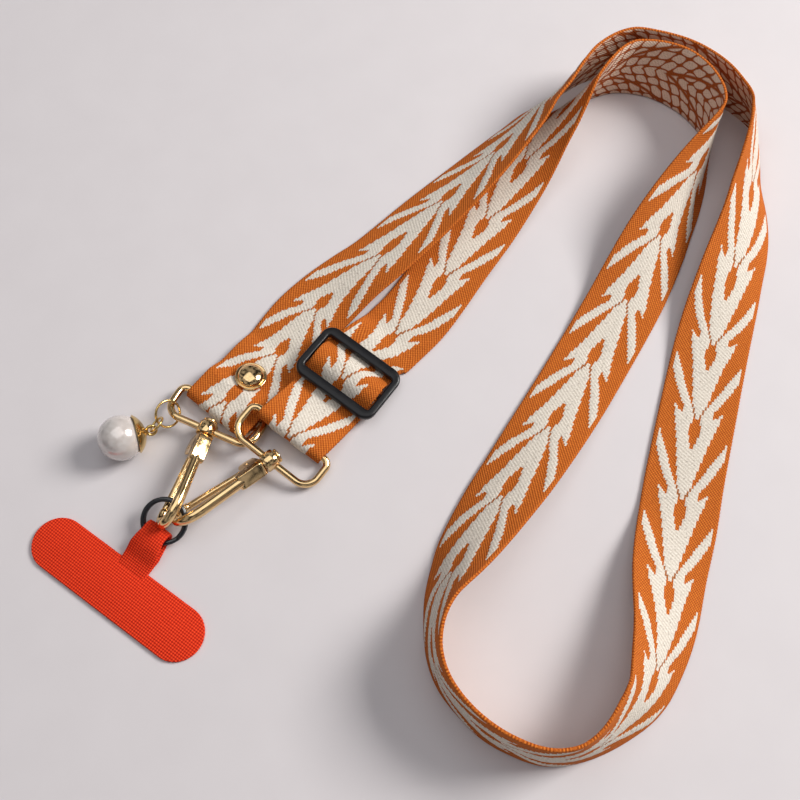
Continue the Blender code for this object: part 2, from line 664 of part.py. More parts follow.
def build_charm():
    """Pearl in a gold cup with a loop, and two jump rings that hang it from D-ring 1."""
    centre = np.array(PEARL_PLACE) * LAY_SPAN
    axis = unit(PEARL_AXIS)
    steps = np.radians(np.linspace(1, 179, 15))
    rows = [(PEARL_RADIUS * math.sin(a), -PEARL_RADIUS * math.cos(a)) for a in steps]
    add("pearl", turned(centre, axis, rows, 24), PEARL)
    inside = PEARL_RADIUS + GAP
    outside = inside + CUP_THICK
    spread = np.radians(np.linspace(1, CUP_SPREAD, 8))
    rows = [(inside * math.sin(a), inside * math.cos(a)) for a in spread]
    rows += [(outside * math.sin(a), outside * math.cos(a)) for a in spread[::-1]]
    cup = add("pearl_cup", turned(centre, axis, rows, 24), GOLD)
    loop_at = centre + axis * (outside + CUP_LOOP_RADIUS + CUP_LOOP_WIRE * 0.4)
    normal = unit(np.cross(np.cross(axis, CUP_LOOP_FACE), axis))
    path = circle_path(loop_at, normal, CUP_LOOP_RADIUS, 12)
    loop = add("cup_loop", wire(path, normal, CUP_LOOP_WIRE, CUP_LOOP_WIRE, 6, True), GOLD)
    combine(cup, [loop], "UNION")
    for name, place, face, radius in CHARM_RINGS:
        face = unit(face)
        path = circle_path(np.array(place) * LAY_SPAN, face, radius, 16)
        add(name, wire(path, face, CHARM_WIRE, CHARM_WIRE, 6, True), GOLD)


def circle_path(centre, normal, radius, count):
    """Points round a circle."""
    normal = unit(normal)
    across = unit(np.cross(normal, (0.31, 0.52, 0.79)))
    up = np.cross(normal, across)
    turn = np.arange(count) * 2 * math.pi / count
    return np.asarray(centre) + radius * (np.cos(turn)[:, None] * across + np.sin(turn)[:, None] * up)


middle, side, places = web_route()
webbing = add("webbing", ribbon(middle, side, WEB_WIDTH, WEB_THICK), WOVEN)
print(f"webbing: {len(middle)} sections, {np.linalg.norm(np.diff(middle, axis=0), axis=1).sum():.3f} m long")
fold_front = np.array([FOLD_1_X, FOLD_1_Y, 0]) * LAY_SPAN
build_rivet(webbing, places, fold_front)
build_slider(places)

dee_1_x = heading(DEE_1_BAR_HEADING)
dee_1_y = unit(heading(DEE_1_FACING) + np.array([0, 0, math.tan(math.radians(DEE_1_PITCH))]))
bar_1 = places["bar_1"] + places["along_1"] * DEE_1_BACK - places["across_1"] * DEE_1_ASIDE
swivel_1 = build_dee("swivel_ring_1", bar_1, dee_1_x, dee_1_y, HOOK_1_WAY)
build_hook(1, swivel_1, HOOK_1_WAY, HOOK_1_ROLL)

bar_2, tilt_2, normal_2 = places["bar_2"]
dee_2_y = unit(places["on"] + normal_2 * DEE_2_RISE)
dee_2_x = unit(dee_2_y * np.dot(tilt_2, dee_2_y) - tilt_2)
swivel_2 = build_dee("swivel_ring_2", bar_2, dee_2_x, dee_2_y, HOOK_2_WAY)
build_hook(2, swivel_2, HOOK_2_WAY, HOOK_2_ROLL)
build_tether()
build_charm()

bpy.context.view_layer.update()
corners = np.array([thing.matrix_world @ v.co for thing in bpy.data.objects if thing.type == "MESH"
                    for v in thing.data.vertices])
low, high = corners.min(0), corners.max(0)
shift = Vector((-(low[0] + high[0]) / 2, -(low[1] + high[1]) / 2, -low[2]))
for thing in bpy.data.objects:
    if thing.parent is None:
        thing.location += shift
print(f"box {high - low}, shift {shift}, {sum(len(t.data.polygons) for t in bpy.data.objects)} faces")
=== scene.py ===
# %% [markdown]
# # Phone crossbody strap
# A woven band laid in a loose loop on a table, with its slide buckle, rivet, two D-rings, two swivel snap
# hooks, the black ring and red tab that go to a phone case, and a pearl charm.
# Each finished piece stands in for the plain solid of the same name and keeps that solid's size and place.

# %% The frame
import bpy
import math
import numpy as np
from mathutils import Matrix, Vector


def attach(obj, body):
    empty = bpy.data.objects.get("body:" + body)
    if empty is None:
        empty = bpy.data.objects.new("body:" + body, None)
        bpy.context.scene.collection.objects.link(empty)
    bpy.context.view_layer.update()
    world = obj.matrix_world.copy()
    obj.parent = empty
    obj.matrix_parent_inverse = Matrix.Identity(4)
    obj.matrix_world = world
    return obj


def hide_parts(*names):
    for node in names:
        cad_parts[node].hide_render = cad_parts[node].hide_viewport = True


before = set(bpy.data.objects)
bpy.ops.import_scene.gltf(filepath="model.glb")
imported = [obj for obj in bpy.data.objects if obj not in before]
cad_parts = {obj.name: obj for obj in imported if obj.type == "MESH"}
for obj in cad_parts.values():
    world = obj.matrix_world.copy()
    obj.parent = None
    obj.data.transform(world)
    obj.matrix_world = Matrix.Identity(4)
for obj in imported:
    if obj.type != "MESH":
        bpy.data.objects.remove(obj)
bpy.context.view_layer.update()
MM = 0.001
UP = np.array([0, 0, 1.0])
# A direction that no axis of a round part lies along.
ASKEW = (0.31, 0.52, 0.79)

# %% [markdown]
# ## Curves
# A curve is read from a few given points. Between two of them it is a cubic whose slopes come from
# their neighbours, and it is cut into steps of a chosen length.

# %% Curves


def unit(v):
    """The vector, or each row of vectors, divided by its length."""
    v = np.asarray(v, float)
    return v / np.linalg.norm(v, axis=-1, keepdims=True)


def heading(degrees):
    """Level unit vector: the cosine and sine of the angle from +X."""
    a = math.radians(degrees)
    return np.array([math.cos(a), math.sin(a), 0.0])


def stretch(a, b, c, d, count):
    """Steps of a Catmull-Rom cubic from b up to c, whose end slopes are half of c - a and half of d - b."""
    t = (np.arange(count) / count)[:, None]
    square = (2 * a - 5 * b + 4 * c - d) * t**2
    return 0.5 * (2 * b + (c - a) * t + square + (3 * b - a - 3 * c + d) * t**3)


def smooth(points, step):
    """Open curve through rows of values, with steps of about the given length in the first three of them."""
    p = np.asarray(points, float)
    q = np.vstack([2 * p[0] - p[1], p, 2 * p[-1] - p[-2]])
    out = []
    for a, b, c, d in zip(q[:-3], q[1:-2], q[2:-1], q[3:]):
        out.append(stretch(a, b, c, d, max(1, int(round(np.linalg.norm((c - b)[:3]) / step)))))
    out.append(p[-1:])
    return np.vstack(out)


def round_trip(points, step):
    """Closed curve through flat points: the same cubic, with the row wrapped round."""
    p = np.asarray(points, float)
    out = []
    for a, b, c, d in zip(np.roll(p, 1, 0), p, np.roll(p, -1, 0), np.roll(p, -2, 0)):
        out.append(stretch(a, b, c, d, max(2, int(round(np.linalg.norm(c - b) / step)))))
    return np.vstack(out)


def lengths(points):
    """Way along a line of points, from 0 at its first."""
    return np.concatenate([[0], np.cumsum(np.linalg.norm(np.diff(points, axis=0), axis=1))])


def read_at(values, known, at):
    """Cubic Hermite reading of rows of values, known at rising places, with slopes from their neighbours."""
    slope = np.gradient(values, known, axis=0)
    k = np.clip(np.searchsorted(known, at, side="right") - 1, 0, len(known) - 2)
    span = (known[k + 1] - known[k])[:, None]
    t = (at - known[k])[:, None] / span
    low = (2 * t**3 - 3 * t**2 + 1) * values[k] + (t**3 - 2 * t**2 + t) * span * slope[k]
    high = (3 * t**2 - 2 * t**3) * values[k + 1] + (t**3 - t**2) * span * slope[k + 1]
    return low + high


# %% [markdown]
# ## Skins
# Every piece is a row of rings of points. A ring is laid round each place on a curve, and one grid of faces,
# worked out with array arithmetic, joins them.

# %% Skins


def grid_faces(rings, around, joined):
    """Quads of a grid: corner (i, j) is point i * around + j, and j wraps round."""
    count = rings if joined else rings - 1
    i = np.arange(count)[:, None]
    j = np.arange(around)[None]
    one, two = i * around, (i + 1) % rings * around
    nxt = (j + 1) % around
    return np.stack([one + j, one + nxt, two + nxt, two + j], -1).reshape(-1, 4)


def skin(rings, joined=False):
    """Points and faces of rings, with a flat face on each end unless the last ring meets the first."""
    rings = np.asarray(rings, float)
    n, m = rings.shape[:2]
    faces = grid_faces(n, m, joined).tolist()
    if not joined:
        faces += [list(range(m))[::-1], list(range((n - 1) * m, n * m))]
    points = rings.reshape(-1, 3)
    quads = np.array(faces[:(n if joined else n - 1) * m])
    a, b, c, d = (points[quads[:, k]] for k in range(4))
    middle = points.mean(0)
    volume = (np.cross(c - a, d - b) * ((a + b + c + d) / 4 - middle)).sum()
    if volume < 0:
        faces = [face[::-1] for face in faces]
    return points, faces


def add(name, data):
    """New object in the scene."""
    thing = bpy.data.objects.new(name, data)
    bpy.context.scene.collection.objects.link(thing)
    return thing


def make(name, skins, finish, body="root", angle=45):
    """One object of several skins, at the origin, riding on a body and standing for the solid of its name."""
    points, faces, start = [], [], 0
    for some_points, some_faces in skins:
        points.append(some_points)
        faces += [[k + start for k in face] for face in some_faces]
        start += len(some_points)
    mesh = bpy.data.meshes.new(name + "_finished")
    mesh.from_pydata(np.vstack(points).tolist(), [], faces)
    mesh.shade_smooth()
    mesh.set_sharp_from_angle(angle=math.radians(angle))
    mesh.materials.append(finish)
    thing = add(name + "_finished", mesh)
    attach(thing, body)
    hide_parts(name)
    print(name, "triangles", sum(len(face) - 2 for face in faces))
    return thing


def around_axis(axis, sides):
    """Unit vector of an axis, and a circle of unit vectors across it."""
    axis = unit(axis)
    side = unit(np.cross(axis, ASKEW))
    turn = (np.arange(sides) * 2 * math.pi / sides)[:, None]
    return axis, np.cos(turn) * side + np.sin(turn) * np.cross(axis, side)


def squared(values, power):
    """Each value's size to a power below one, with its sign: it fills the corners of an oval section."""
    return np.sign(values) * np.abs(values) ** power


def tube(path, normal, side, deep, sides, joined=False, round_ends=0.0):
    """Bar along a path in a plane: an ellipse with half width side in the plane and deep across it.
    A rounded end adds rings that shrink as the sine while they move on as the cosine of the same angle."""
    path = np.asarray(path, float)
    side = np.broadcast_to(side, len(path)).astype(float)
    deep = np.broadcast_to(deep, len(path)).astype(float)
    ahead = np.gradient(path, axis=0)
    if joined:
        ahead = np.roll(path, -1, 0) - np.roll(path, 1, 0)
    if round_ends:
        a = np.radians([80, 60, 40, 20])
        extra = len(a)
        first = path[0] - unit(ahead[0]) * round_ends * np.sin(a)[:, None]
        last = path[-1] + unit(ahead[-1]) * round_ends * np.sin(a[::-1])[:, None]
        shrink = np.cos(a)
        path = np.vstack([first, path, last])
        ahead = np.vstack([np.repeat(ahead[:1], extra, 0), ahead, np.repeat(ahead[-1:], extra, 0)])
        side = np.concatenate([side[0] * shrink, side, side[-1] * shrink[::-1]])
        deep = np.concatenate([deep[0] * shrink, deep, deep[-1] * shrink[::-1]])
    normal = unit(normal)
    out = unit(np.cross(ahead, normal))
    turn = (np.arange(sides) + 0.5) * 2 * math.pi / sides
    rings = path[:, None] + (side[:, None] * np.cos(turn))[..., None] * out[:, None]
    rings = rings + (deep[:, None] * np.sin(turn))[..., None] * normal
    return skin(rings, joined)


def turned(centre, axis, profile, sides):
    """Round solid about an axis: each row of the profile is a radius and a way along the axis."""
    axis, circle = around_axis(axis, sides)
    profile = np.asarray(profile, float)
    rings = np.asarray(centre) + axis * profile[:, None, 1:] + circle[None] * profile[:, None, :1]
    return skin(rings)


def tube_of_rows(centre, axis, rows, sides):
    """Round hollow solid: a closed outline of radius and way turned about an axis."""
    axis, circle = around_axis(axis, sides)
    rings = np.asarray(centre) + circle[:, None] * rows[None, :, :1] + axis * rows[None, :, 1:]
    return skin(rings, joined=True)


def rounded_rod(centre, axis, radius, low, high, sides=32, edge=0.25 * MM):
    """Round rod from low to high along the axis, its rims turned over on quarter circles of radius edge."""
    a = np.radians(np.linspace(0, 90, 5))
    rise = [(radius - edge + edge * math.sin(t), low + edge - edge * math.cos(t)) for t in a]
    fall = [(radius - edge + edge * math.sin(t), high - edge + edge * math.cos(t)) for t in a[::-1]]
    return turned(centre, axis, [(radius * 0.02, low), *rise, *fall, (radius * 0.02, high)], sides)


def slab(outline, at, low, high, edge):
    """Plate of a flat outline between two heights, its rims turned over on quarter circles of radius edge.
    Each ring is the outline moved in along its own normals; at(x, y, z) carries flat points to the model."""
    outline = np.asarray(outline, float)
    along = unit(np.roll(outline, -1, 0) - np.roll(outline, 1, 0))
    inward = np.column_stack([-along[:, 1], along[:, 0]])
    area = (outline[:, 0] * np.roll(outline[:, 1], -1) - outline[:, 1] * np.roll(outline[:, 0], -1)).sum()
    inward *= 1 if area > 0 else -1
    a = np.radians(np.linspace(0, 90, 5))
    moves = [(edge * (1 - math.sin(t)), low + edge * (1 - math.cos(t))) for t in a]
    moves += [(edge * (1 - math.sin(t)), high - edge * (1 - math.cos(t))) for t in a[::-1]]
    return skin([at(*(outline + inward * move).T, z) for move, z in moves])


# %% [markdown]
# ## Finishes
# Plated metal is a mirror with faint waves from polishing and a few soft smears. Its champagne colour sits in
# the reflection itself. The black pieces are coated: the slide buckle is satin with a fine orange peel, and
# the ring for the tab is glossy.

# %% Material helpers


def new_material(name):
    """A material with its shader and its node tree."""
    made = bpy.data.materials.new(name)
    made.use_nodes = True
    return made, made.node_tree, made.node_tree.nodes["Principled BSDF"]


def fill(tree, made, inputs):
    """A node's inputs, by name or number: each is a value or another node's output."""
    for key, value in dict(inputs).items():
        if isinstance(value, bpy.types.NodeSocket):
            tree.links.new(value, made.inputs[key])
        else:
            made.inputs[key].default_value = value


def node(tree, kind, inputs=(), **settings):
    """A node with its settings and inputs."""
    made = tree.nodes.new(kind)
    for key, value in settings.items():
        setattr(made, key, value)
    fill(tree, made, inputs)
    return made


def sums(tree, operation, *values):
    """Math node's result for up to three values or outputs."""
    return node(tree, "ShaderNodeMath", enumerate(values), operation=operation).outputs[0]


def mix(tree, share, one, two):
    """Colour between one and two by share."""
    one, two = (c if isinstance(c, bpy.types.NodeSocket) else (*c, 1) for c in (one, two))
    return node(tree, "ShaderNodeMix", {0: share, 6: one, 7: two}, data_type="RGBA").outputs[2]


def noise(tree, where, scale, detail=2.0, rough=0.5):
    """Noise texture's value at a place."""
    inputs = {"Vector": where, "Scale": scale, "Detail": detail, "Roughness": rough}
    return node(tree, "ShaderNodeTexNoise", inputs).outputs["Fac"]


def spread(tree, value, low, high, to_low=0.0, to_high=1.0):
    """Value carried from one range to another and held at its ends."""
    inputs = {"Value": value, "From Min": low, "From Max": high, "To Min": to_low, "To Max": to_high}
    return node(tree, "ShaderNodeMapRange", inputs).outputs["Result"]


def wave(tree, value, period):
    """Sine of a value that comes round once in a period."""
    return sums(tree, "SINE", sums(tree, "MULTIPLY", value, 2 * math.pi / period))


def measures(tree):
    """A cloth's own measures in mm: all three, the way across it and the way along it."""
    lay = node(tree, "ShaderNodeAttribute", attribute_name="lay").outputs["Vector"]
    apart = node(tree, "ShaderNodeSeparateXYZ", {"Vector": lay})
    return lay, apart.outputs["X"], apart.outputs["Y"]


def bump(tree, shader, height, distance, strength=1.0):
    """Bump of a height on the shader's normal."""
    made = node(tree, "ShaderNodeBump", {"Height": height, "Distance": distance, "Strength": strength})
    fill(tree, shader, {"Normal": made.outputs["Normal"]})


def plated(name, colour, rough, wave):
    """Polished metal: noise millimetres wide bends the reflection, finer noise roughens it in smears."""
    made, tree, shader = new_material(name)
    where = node(tree, "ShaderNodeTexCoord").outputs["Object"]
    broad = noise(tree, where, 240, 2)
    fine = noise(tree, where, 2600, 3)
    dark = tuple(0.86 * c for c in colour)
    fill(tree, shader, {"Base Color": mix(tree, spread(tree, broad, 0.35, 0.7), colour, dark),
                        "Roughness": spread(tree, fine, 0.3, 0.75, rough, rough + 0.12), "Metallic": 1.0})
    bump(tree, shader, sums(tree, "ADD", broad, sums(tree, "MULTIPLY", fine, 0.03)), wave)
    return made


def coated(name, colour, rough, coat):
    """Painted metal: a near-black base with a fine orange peel, under a clear coat."""
    made, tree, shader = new_material(name)
    where = node(tree, "ShaderNodeTexCoord").outputs["Object"]
    peel = noise(tree, where, 1500, 2)
    bright = tuple(1.5 * c for c in colour)
    smears = spread(tree, noise(tree, where, 300, 3), 0.3, 0.7, rough, rough + 0.1)
    fill(tree, shader, {"Base Color": mix(tree, peel, colour, bright), "Roughness": smears,
                        "Specular IOR Level": 0.3, "Coat Weight": coat, "Coat Roughness": 0.12})
    bump(tree, shader, peel, 0.02 * MM)
    return made


GOLD = plated("pale_gold_plate", (0.86, 0.60, 0.30), 0.08, 0.05 * MM)
OLD_GOLD = plated("charm_gold_plate", (0.70, 0.49, 0.19), 0.12, 0.05 * MM)
BLACK = coated("satin_black", (0.004, 0.004, 0.005), 0.26, 0.0)
BLACK_GLOSS = coated("gloss_black", (0.006, 0.006, 0.008), 0.12, 1.0)

# %% [markdown]
# ## The band's way round the table
# The band is 25 mm wide and a little over a metre long. Its rest on the table is a curve with a roll: it is 0
# where the band lies flat, and in a tight bow the band stands on one edge. At its ends it folds round the
# D-rings, and it goes through the slide buckle. The tables are shares of 100 mm and thicknesses of band.

# %% Route tables
WIDTH = 25 * MM
THICK = 1.2 * MM
SPAN = 100 * MM
REST = 0.54
SHIFT = np.array([-8.7589, -10.3122, 0.0]) * MM

# Columns: x, y of the band's middle as shares of SPAN, and roll in degrees, plus where the right edge is up.
ROUTE = (
    (-0.325, 0.284, 2), (-0.246, 0.367, 6), (-0.157, 0.444, 14), (-0.067, 0.517, 19), (0.095, 0.675, 23),
    (0.261, 0.837, 33), (0.423, 1.006, 47), (0.499, 1.095, 57), (0.564, 1.150, 66), (0.620, 1.213, 73),
    (0.675, 1.267, 79), (0.729, 1.303, 83), (0.790, 1.329, 87), (0.849, 1.337, 90), (0.923, 1.323, 90),
    (1.017, 1.295, 88), (1.096, 1.254, 85), (1.168, 1.198, 81), (1.225, 1.130, 76), (1.267, 1.055, 71),
    (1.260, 0.948, 67), (1.236, 0.834, 60), (1.217, 0.725, 47), (1.199, 0.634, 38), (1.171, 0.543, 30),
    (1.135, 0.448, 23), (1.063, 0.242, 7), (0.999, 0.037, 0), (0.913, -0.250, 0), (0.867, -0.418, 2),
    (0.820, -0.574, 15), (0.779, -0.752, 32), (0.727, -0.894, 47), (0.690, -0.959, 56), (0.635, -1.016, 65),
    (0.568, -1.071, 75), (0.490, -1.109, 82), (0.403, -1.116, 84), (0.321, -1.091, 85), (0.244, -1.049, 85),
    (0.179, -0.990, 86), (0.125, -0.918, 85), (0.098, -0.835, 83), (0.100, -0.746, 78), (0.122, -0.663, 68),
    (0.162, -0.588, 55), (0.206, -0.514, 43), (0.297, -0.379, 29), (0.394, -0.241, 19), (0.540, -0.020, 6),
    (0.658, 0.171, 0), (0.772, 0.362, -6), (0.877, 0.552, -25), (0.932, 0.649, -38), (0.990, 0.746, -50),
    (1.054, 0.856, -66), (1.098, 0.940, -80), (1.123, 1.010, -90), (1.118, 1.069, -95), (1.080, 1.150, -100),
    (1.014, 1.219, -103), (0.928, 1.258, -100), (0.841, 1.267, -96), (0.794, 1.253, -90), (0.754, 1.229, -84),
    (0.678, 1.170, -72), (0.606, 1.097, -54), (0.560, 1.047, -42), (0.498, 0.978, -28), (0.448, 0.906, -18),
    (0.394, 0.822, -10), (0.296, 0.667, -4), (0.195, 0.518, -3), (0.114, 0.394, -2), (0.046, 0.301, 0),
    (-0.025, 0.225, 0), (-0.062, 0.187, 5),
)
STEP = 4.2 * MM
# The fold at the first D-ring. Columns: way back from its front, and height, in thicknesses of band.
FOLD_UNDER = ((20.5, 0.54), (13.0, 0.54), (8.0, 0.54))
FOLD_OVER = ((4.2, 4.04), (7.0, 4.04), (9.7, 4.0), (11.6, 3.1), (13.4, 2.1), (15.4, 1.8), (20.0, 1.8),
             (23.0, 1.3), (26.0, 0.54))
FOLD_AT = np.array([-0.602, -0.076, 0]) * SPAN + SHIFT
FOLD_ALONG = heading(51.0)
# The way through the slide buckle. Columns: way past its middle bar, and height, in thicknesses of band.
WEAVE = ((-10.0, 0.0), (-8.8, 0.0), (-7.2, 0.02), (-5.7, 0.25), (-4.4, 1.0), (-3.1, 2.65), (-1.9, 3.95),
         (-0.7, 4.42), (0.7, 4.5), (2.1, 4.25), (3.4, 3.45), (4.6, 2.2), (5.5, 1.38), (7.2, 1.25),
         (10.0, 1.25), (13.5, 1.45), (17.0, 2.3), (20.0, 3.25), (22.9, 3.5))
# Columns: way past the middle bar in thicknesses, and roll in degrees.
WEAVE_ROLL = ((-10.0, 7.0), (9.5, 7.0), (17.0, 12.25), (22.9, 13.3), (26.0, 13.3))
# The cut end over the middle bar. Columns: way past the bar, and drop, in thicknesses.
CUT_END = ((1.2, 0.1), (2.1, 0.5))
SLIDER_AT = np.array([-0.172, 0.076, 0]) * SPAN + SHIFT
SLIDER_ALONG = heading(234.1)
CURL = 1.9 * MM

# %% [markdown]
# It has three parts: the fold round the first D-ring, the route round the table, and the way through the
# buckle and round the second D-ring. Each place on it has a side vector across the band.

# %% The band's middle line


def right_of(along):
    """Level vector to the right of a level heading."""
    return np.array([along[1], -along[0], 0])


def through_buckle(way, lift, drift_way):
    """Place, side and normal of the band a way past the buckle's middle bar, lifted along its own normal."""
    roll = math.radians(np.interp(way, [s * THICK for s, r in WEAVE_ROLL], [r for s, r in WEAVE_ROLL]))
    right = right_of(SLIDER_ALONG)
    tilt = right * math.cos(roll) + UP * math.sin(roll)
    normal = UP * math.cos(roll) - right * math.sin(roll)
    past, short = max(0.0, drift_way / (27.5 * MM)), max(0.0, -drift_way / (12 * MM))
    drift = 1.9 * MM * past**2 - 1.2 * MM * short**6
    base = SLIDER_AT + SLIDER_ALONG * way + right * drift
    return base + UP * (THICK * REST + WIDTH / 2 * math.sin(roll)) + normal * lift, tilt, normal


def first_fold():
    """Middle line of the fold round the first D-ring: flat under, half round the bar, back over the top."""
    bend = (FOLD_OVER[0][1] - REST) / 2 * THICK
    bar_z = (FOLD_OVER[0][1] + REST) / 2 * THICK
    front = bend + THICK / 2
    rows = [FOLD_AT + (FOLD_ALONG * s + UP * z) * THICK for s, z in FOLD_UNDER]
    for a in np.radians(np.linspace(-90, 90, 9)):
        rows.append(FOLD_AT + FOLD_ALONG * (front - bend * math.cos(a)) + UP * (bar_z + bend * math.sin(a)))
    rows += [FOLD_AT + (FOLD_ALONG * s + UP * z) * THICK for s, z in FOLD_OVER]
    line = smooth(rows, 3 * MM)
    return line, np.repeat(right_of(FOLD_ALONG)[None], len(line), 0), FOLD_AT + UP * bar_z


def last_fold():
    """Middle line through the buckle, round the second D-ring, back under and up round the middle bar."""
    weave = smooth([(s * THICK, h * THICK, 0) for s, h in WEAVE], 1.2 * MM)
    rows = [through_buckle(s, h, s)[:2] for s, h, _ in weave]
    bend = WEAVE[-1][1] * THICK / 2
    end = WEAVE[-1][0] * THICK
    for a in np.radians(np.linspace(80, -90, 10)):
        rows.append(through_buckle(end + bend * math.cos(a), bend + bend * math.sin(a), end)[:2])
    rows += [through_buckle(way, 0, way)[:2] for way in np.linspace(end - 3 * MM, 1.5 * MM, 9)]
    for a in np.radians(np.linspace(-90, -270, 11)):
        rows.append(through_buckle(CURL * math.cos(a), CURL + CURL * math.sin(a), 0)[:2])
    rows += [through_buckle(way * THICK, 2 * CURL - drop * THICK, 0)[:2] for way, drop in CUT_END]
    return np.array([p for p, t in rows]), np.array([t for p, t in rows]), through_buckle(end, bend, end)


def band_way():
    """Middle line and side vectors of the whole band. Where it rolls by r it stands on its low edge, so its
    middle is WIDTH / 2 * |sin r| + REST * THICK * |cos r| high."""
    one, one_side, bar_1 = first_fold()
    two, two_side, bar_2 = last_fold()
    rows = [(x * SPAN + SHIFT[0], y * SPAN + SHIFT[1], 0, roll) for x, y, roll in ROUTE]
    lead, tail = one[-1], two[0]
    ends = [[[*p[:2], 0, 0]] for p in (one[-4], lead, tail, two[3])]
    run = smooth(np.vstack([ends[0], ends[1], rows, ends[2], ends[3]]), STEP)
    clear = [np.linalg.norm(run[:, :2] - p[:2], axis=1) > 0.6 * STEP for p in (lead, tail)]
    keep = clear[0] & clear[1]
    start = np.flatnonzero(keep & ((run[:, :2] - lead[:2]) @ FOLD_ALONG[:2] > 0))[0]
    stop = np.flatnonzero(keep & ((run[:, :2] - tail[:2]) @ SLIDER_ALONG[:2] < 0))[-1]
    flat = unit(np.gradient(run[:, :2], axis=0))
    roll = np.radians(run[:, 3])
    level = np.column_stack([flat[:, 1], -flat[:, 0], 0 * roll])
    side = level * np.cos(roll)[:, None] + UP * np.sin(roll)[:, None]
    height = WIDTH / 2 * np.abs(np.sin(roll)) + THICK * REST * np.abs(np.cos(roll))
    middle = np.column_stack([run[:, :2], height])
    part = slice(start, stop + 1)
    return np.vstack([one, middle[part], two]), np.vstack([one_side, side[part], two_side]), bar_1, bar_2


middle, side, bar_1, bar_2 = band_way()
band_length = lengths(middle)[-1]
print("band", round(1000 * band_length), "mm long in", len(middle), "sections")

# %% [markdown]
# ## The band as cloth
# The real band is a jacquard: an orange ground, and thick fluffy cream yarn that floats over it and draws a
# row of nested arrowheads. Here each cell of the front is one yarn float, 0.62 mm across. A short outline of
# half a motif is charted onto the cells, so its edges step as woven ones do, and cream cells stand higher.

# %% Yarn grid
REPEAT = 28.2 * MM
YARN = REPEAT / 45
# Cells and width in mm of the charted front, and points under the back.
CELLS, FRONT, BACK_POINTS = 40, 24.6, 9
# Right half of one motif in mm. Columns: way out from the middle, and way against the band's travel from the
# tip of its hole.
MOTIF = ((0, -17.8), (2.1, -13.2), (3.4, -6), (5.25, 3.3), (7.3, 11), (7.9, 14.8), (6.25, 12.9), (4.9, 12.0),
         (5.2, 15.0), (6.9, 18), (8.9, 22), (10.9, 27), (11.2, 33.7), (8.1, 27.4), (5.4, 21), (2.1, 14.6),
         (1.2, 12.0), (1.5, 9.4), (1.9, 6.4), (1.2, 3.2), (0, 0))
SEAM = ((1.0, 12.2), (2.2, 15.5))
# Where the holes' tips lie round the loop. Columns: x, y in mm.
TIPS = (
    (-37.0, 23.6), (-16.7, 40.8), (2.4, 62.4), (21.3, 81.0), (39.0, 101.1), (119.2, 59.1), (109.4, 33.7),
    (102.3, 9.1), (93.5, -17.9), (85.8, -45.6), (80.5, -72.7), (18.0, -48.4), (37.1, -23.9), (54.0, -2.0),
    (69.3, 21.7), (83.3, 44.7), (97.5, 65.4), (40.5, 81.4), (25.6, 59.8), (9.2, 36.5),
)
# Stations to look through for the next tip: more where a bow without tips lies between.
NEAR, FAR, AFTER_BOW = 70, 240, (5, 11, 17)
stations = np.linspace(0, band_length, int(round(band_length / YARN)) + 1)
line = read_at(middle, lengths(middle), stations)
across = unit(read_at(side, lengths(middle), stations))
over = unit(np.cross(across, np.gradient(line, axis=0)))


def tip_stations():
    """Way along the band of each hole's tip: the nearest station in plan, after the tip before it."""
    found, last = [], 0
    for x, y in TIPS:
        gap = np.linalg.norm(line[:, :2] - SHIFT[:2] - np.array([x, y]) * MM, axis=1)
        gap[:last + 20] = 1
        gap[last + (FAR if len(found) in AFTER_BOW else NEAR):] = 1
        last = int(gap.argmin())
        found.append(stations[last])
    return np.array(found)


tips = tip_stations()
numbers = np.concatenate([[0], np.cumsum(np.round(np.diff(tips) / REPEAT))])
print("repeats from tip to tip", np.round(np.diff(tips) / REPEAT, 2))

# %% [markdown]
# A cell of the front is cream if its middle lies in a motif. A motif is longer than one repeat, so a cell is
# tested in its own repeat and in the two after it. A thin seam keeps the ground's colour.

# %% Chart of the motif


def inside(u, v, corners):
    """Even-odd test: a point is inside if a ray from it crosses the outline an odd number of times."""
    hit = np.zeros(u.shape, bool)
    for (x1, y1), (x2, y2) in zip(corners, corners[1:] + corners[:1]):
        cross = (y1 > v) != (y2 > v)
        hit ^= cross & (u < x1 + (x2 - x1) * (v - y1) / (y2 - y1 + 1e-9))
    return hit


def near_line(u, v, one, two):
    """Distance of points from a straight piece."""
    one, two = np.array(one), np.array(two)
    way = two - one
    share = np.clip(((u - one[0]) * way[0] + (v - one[1]) * way[1]) / (way @ way), 0, 1)
    return np.hypot(u - one[0] - share * way[0], v - one[1] - share * way[1])


cell_u = (np.arange(CELLS) + 0.5) / CELLS * FRONT - FRONT / 2
cell_s = (stations[1:] + stations[:-1]) / 2
before = (cell_s - tips[0]) / REPEAT
after = numbers[-1] + (cell_s - tips[-1]) / REPEAT
phase = np.interp(cell_s, tips, numbers)
phase = np.where(cell_s < tips[0], before, np.where(cell_s > tips[-1], after, phase))
u, s = np.meshgrid(np.abs(cell_u), phase)
cream = np.zeros(u.shape, bool)
seam = np.zeros(u.shape, bool)
for more in (0, 1, 2):
    v = (np.floor(s) + more - s) * REPEAT / MM
    cream |= inside(u, v, list(MOTIF))
    seam |= near_line(u, v, *SEAM) < 0.3
cream &= ~seam
print("yarn cells", cream.shape, "cream share", round(float(cream.mean()), 2))

# %% [markdown]
# Cloth has a front, a back and two edges. Each station gets a ring of 54 points: 41 over the front, whose
# height is the mean of the cells round each point, 9 under the back and 2 at each edge. The edge points swing
# out and in from yarn to yarn like the chain of a selvedge. The ring's own measures are kept for the finish.

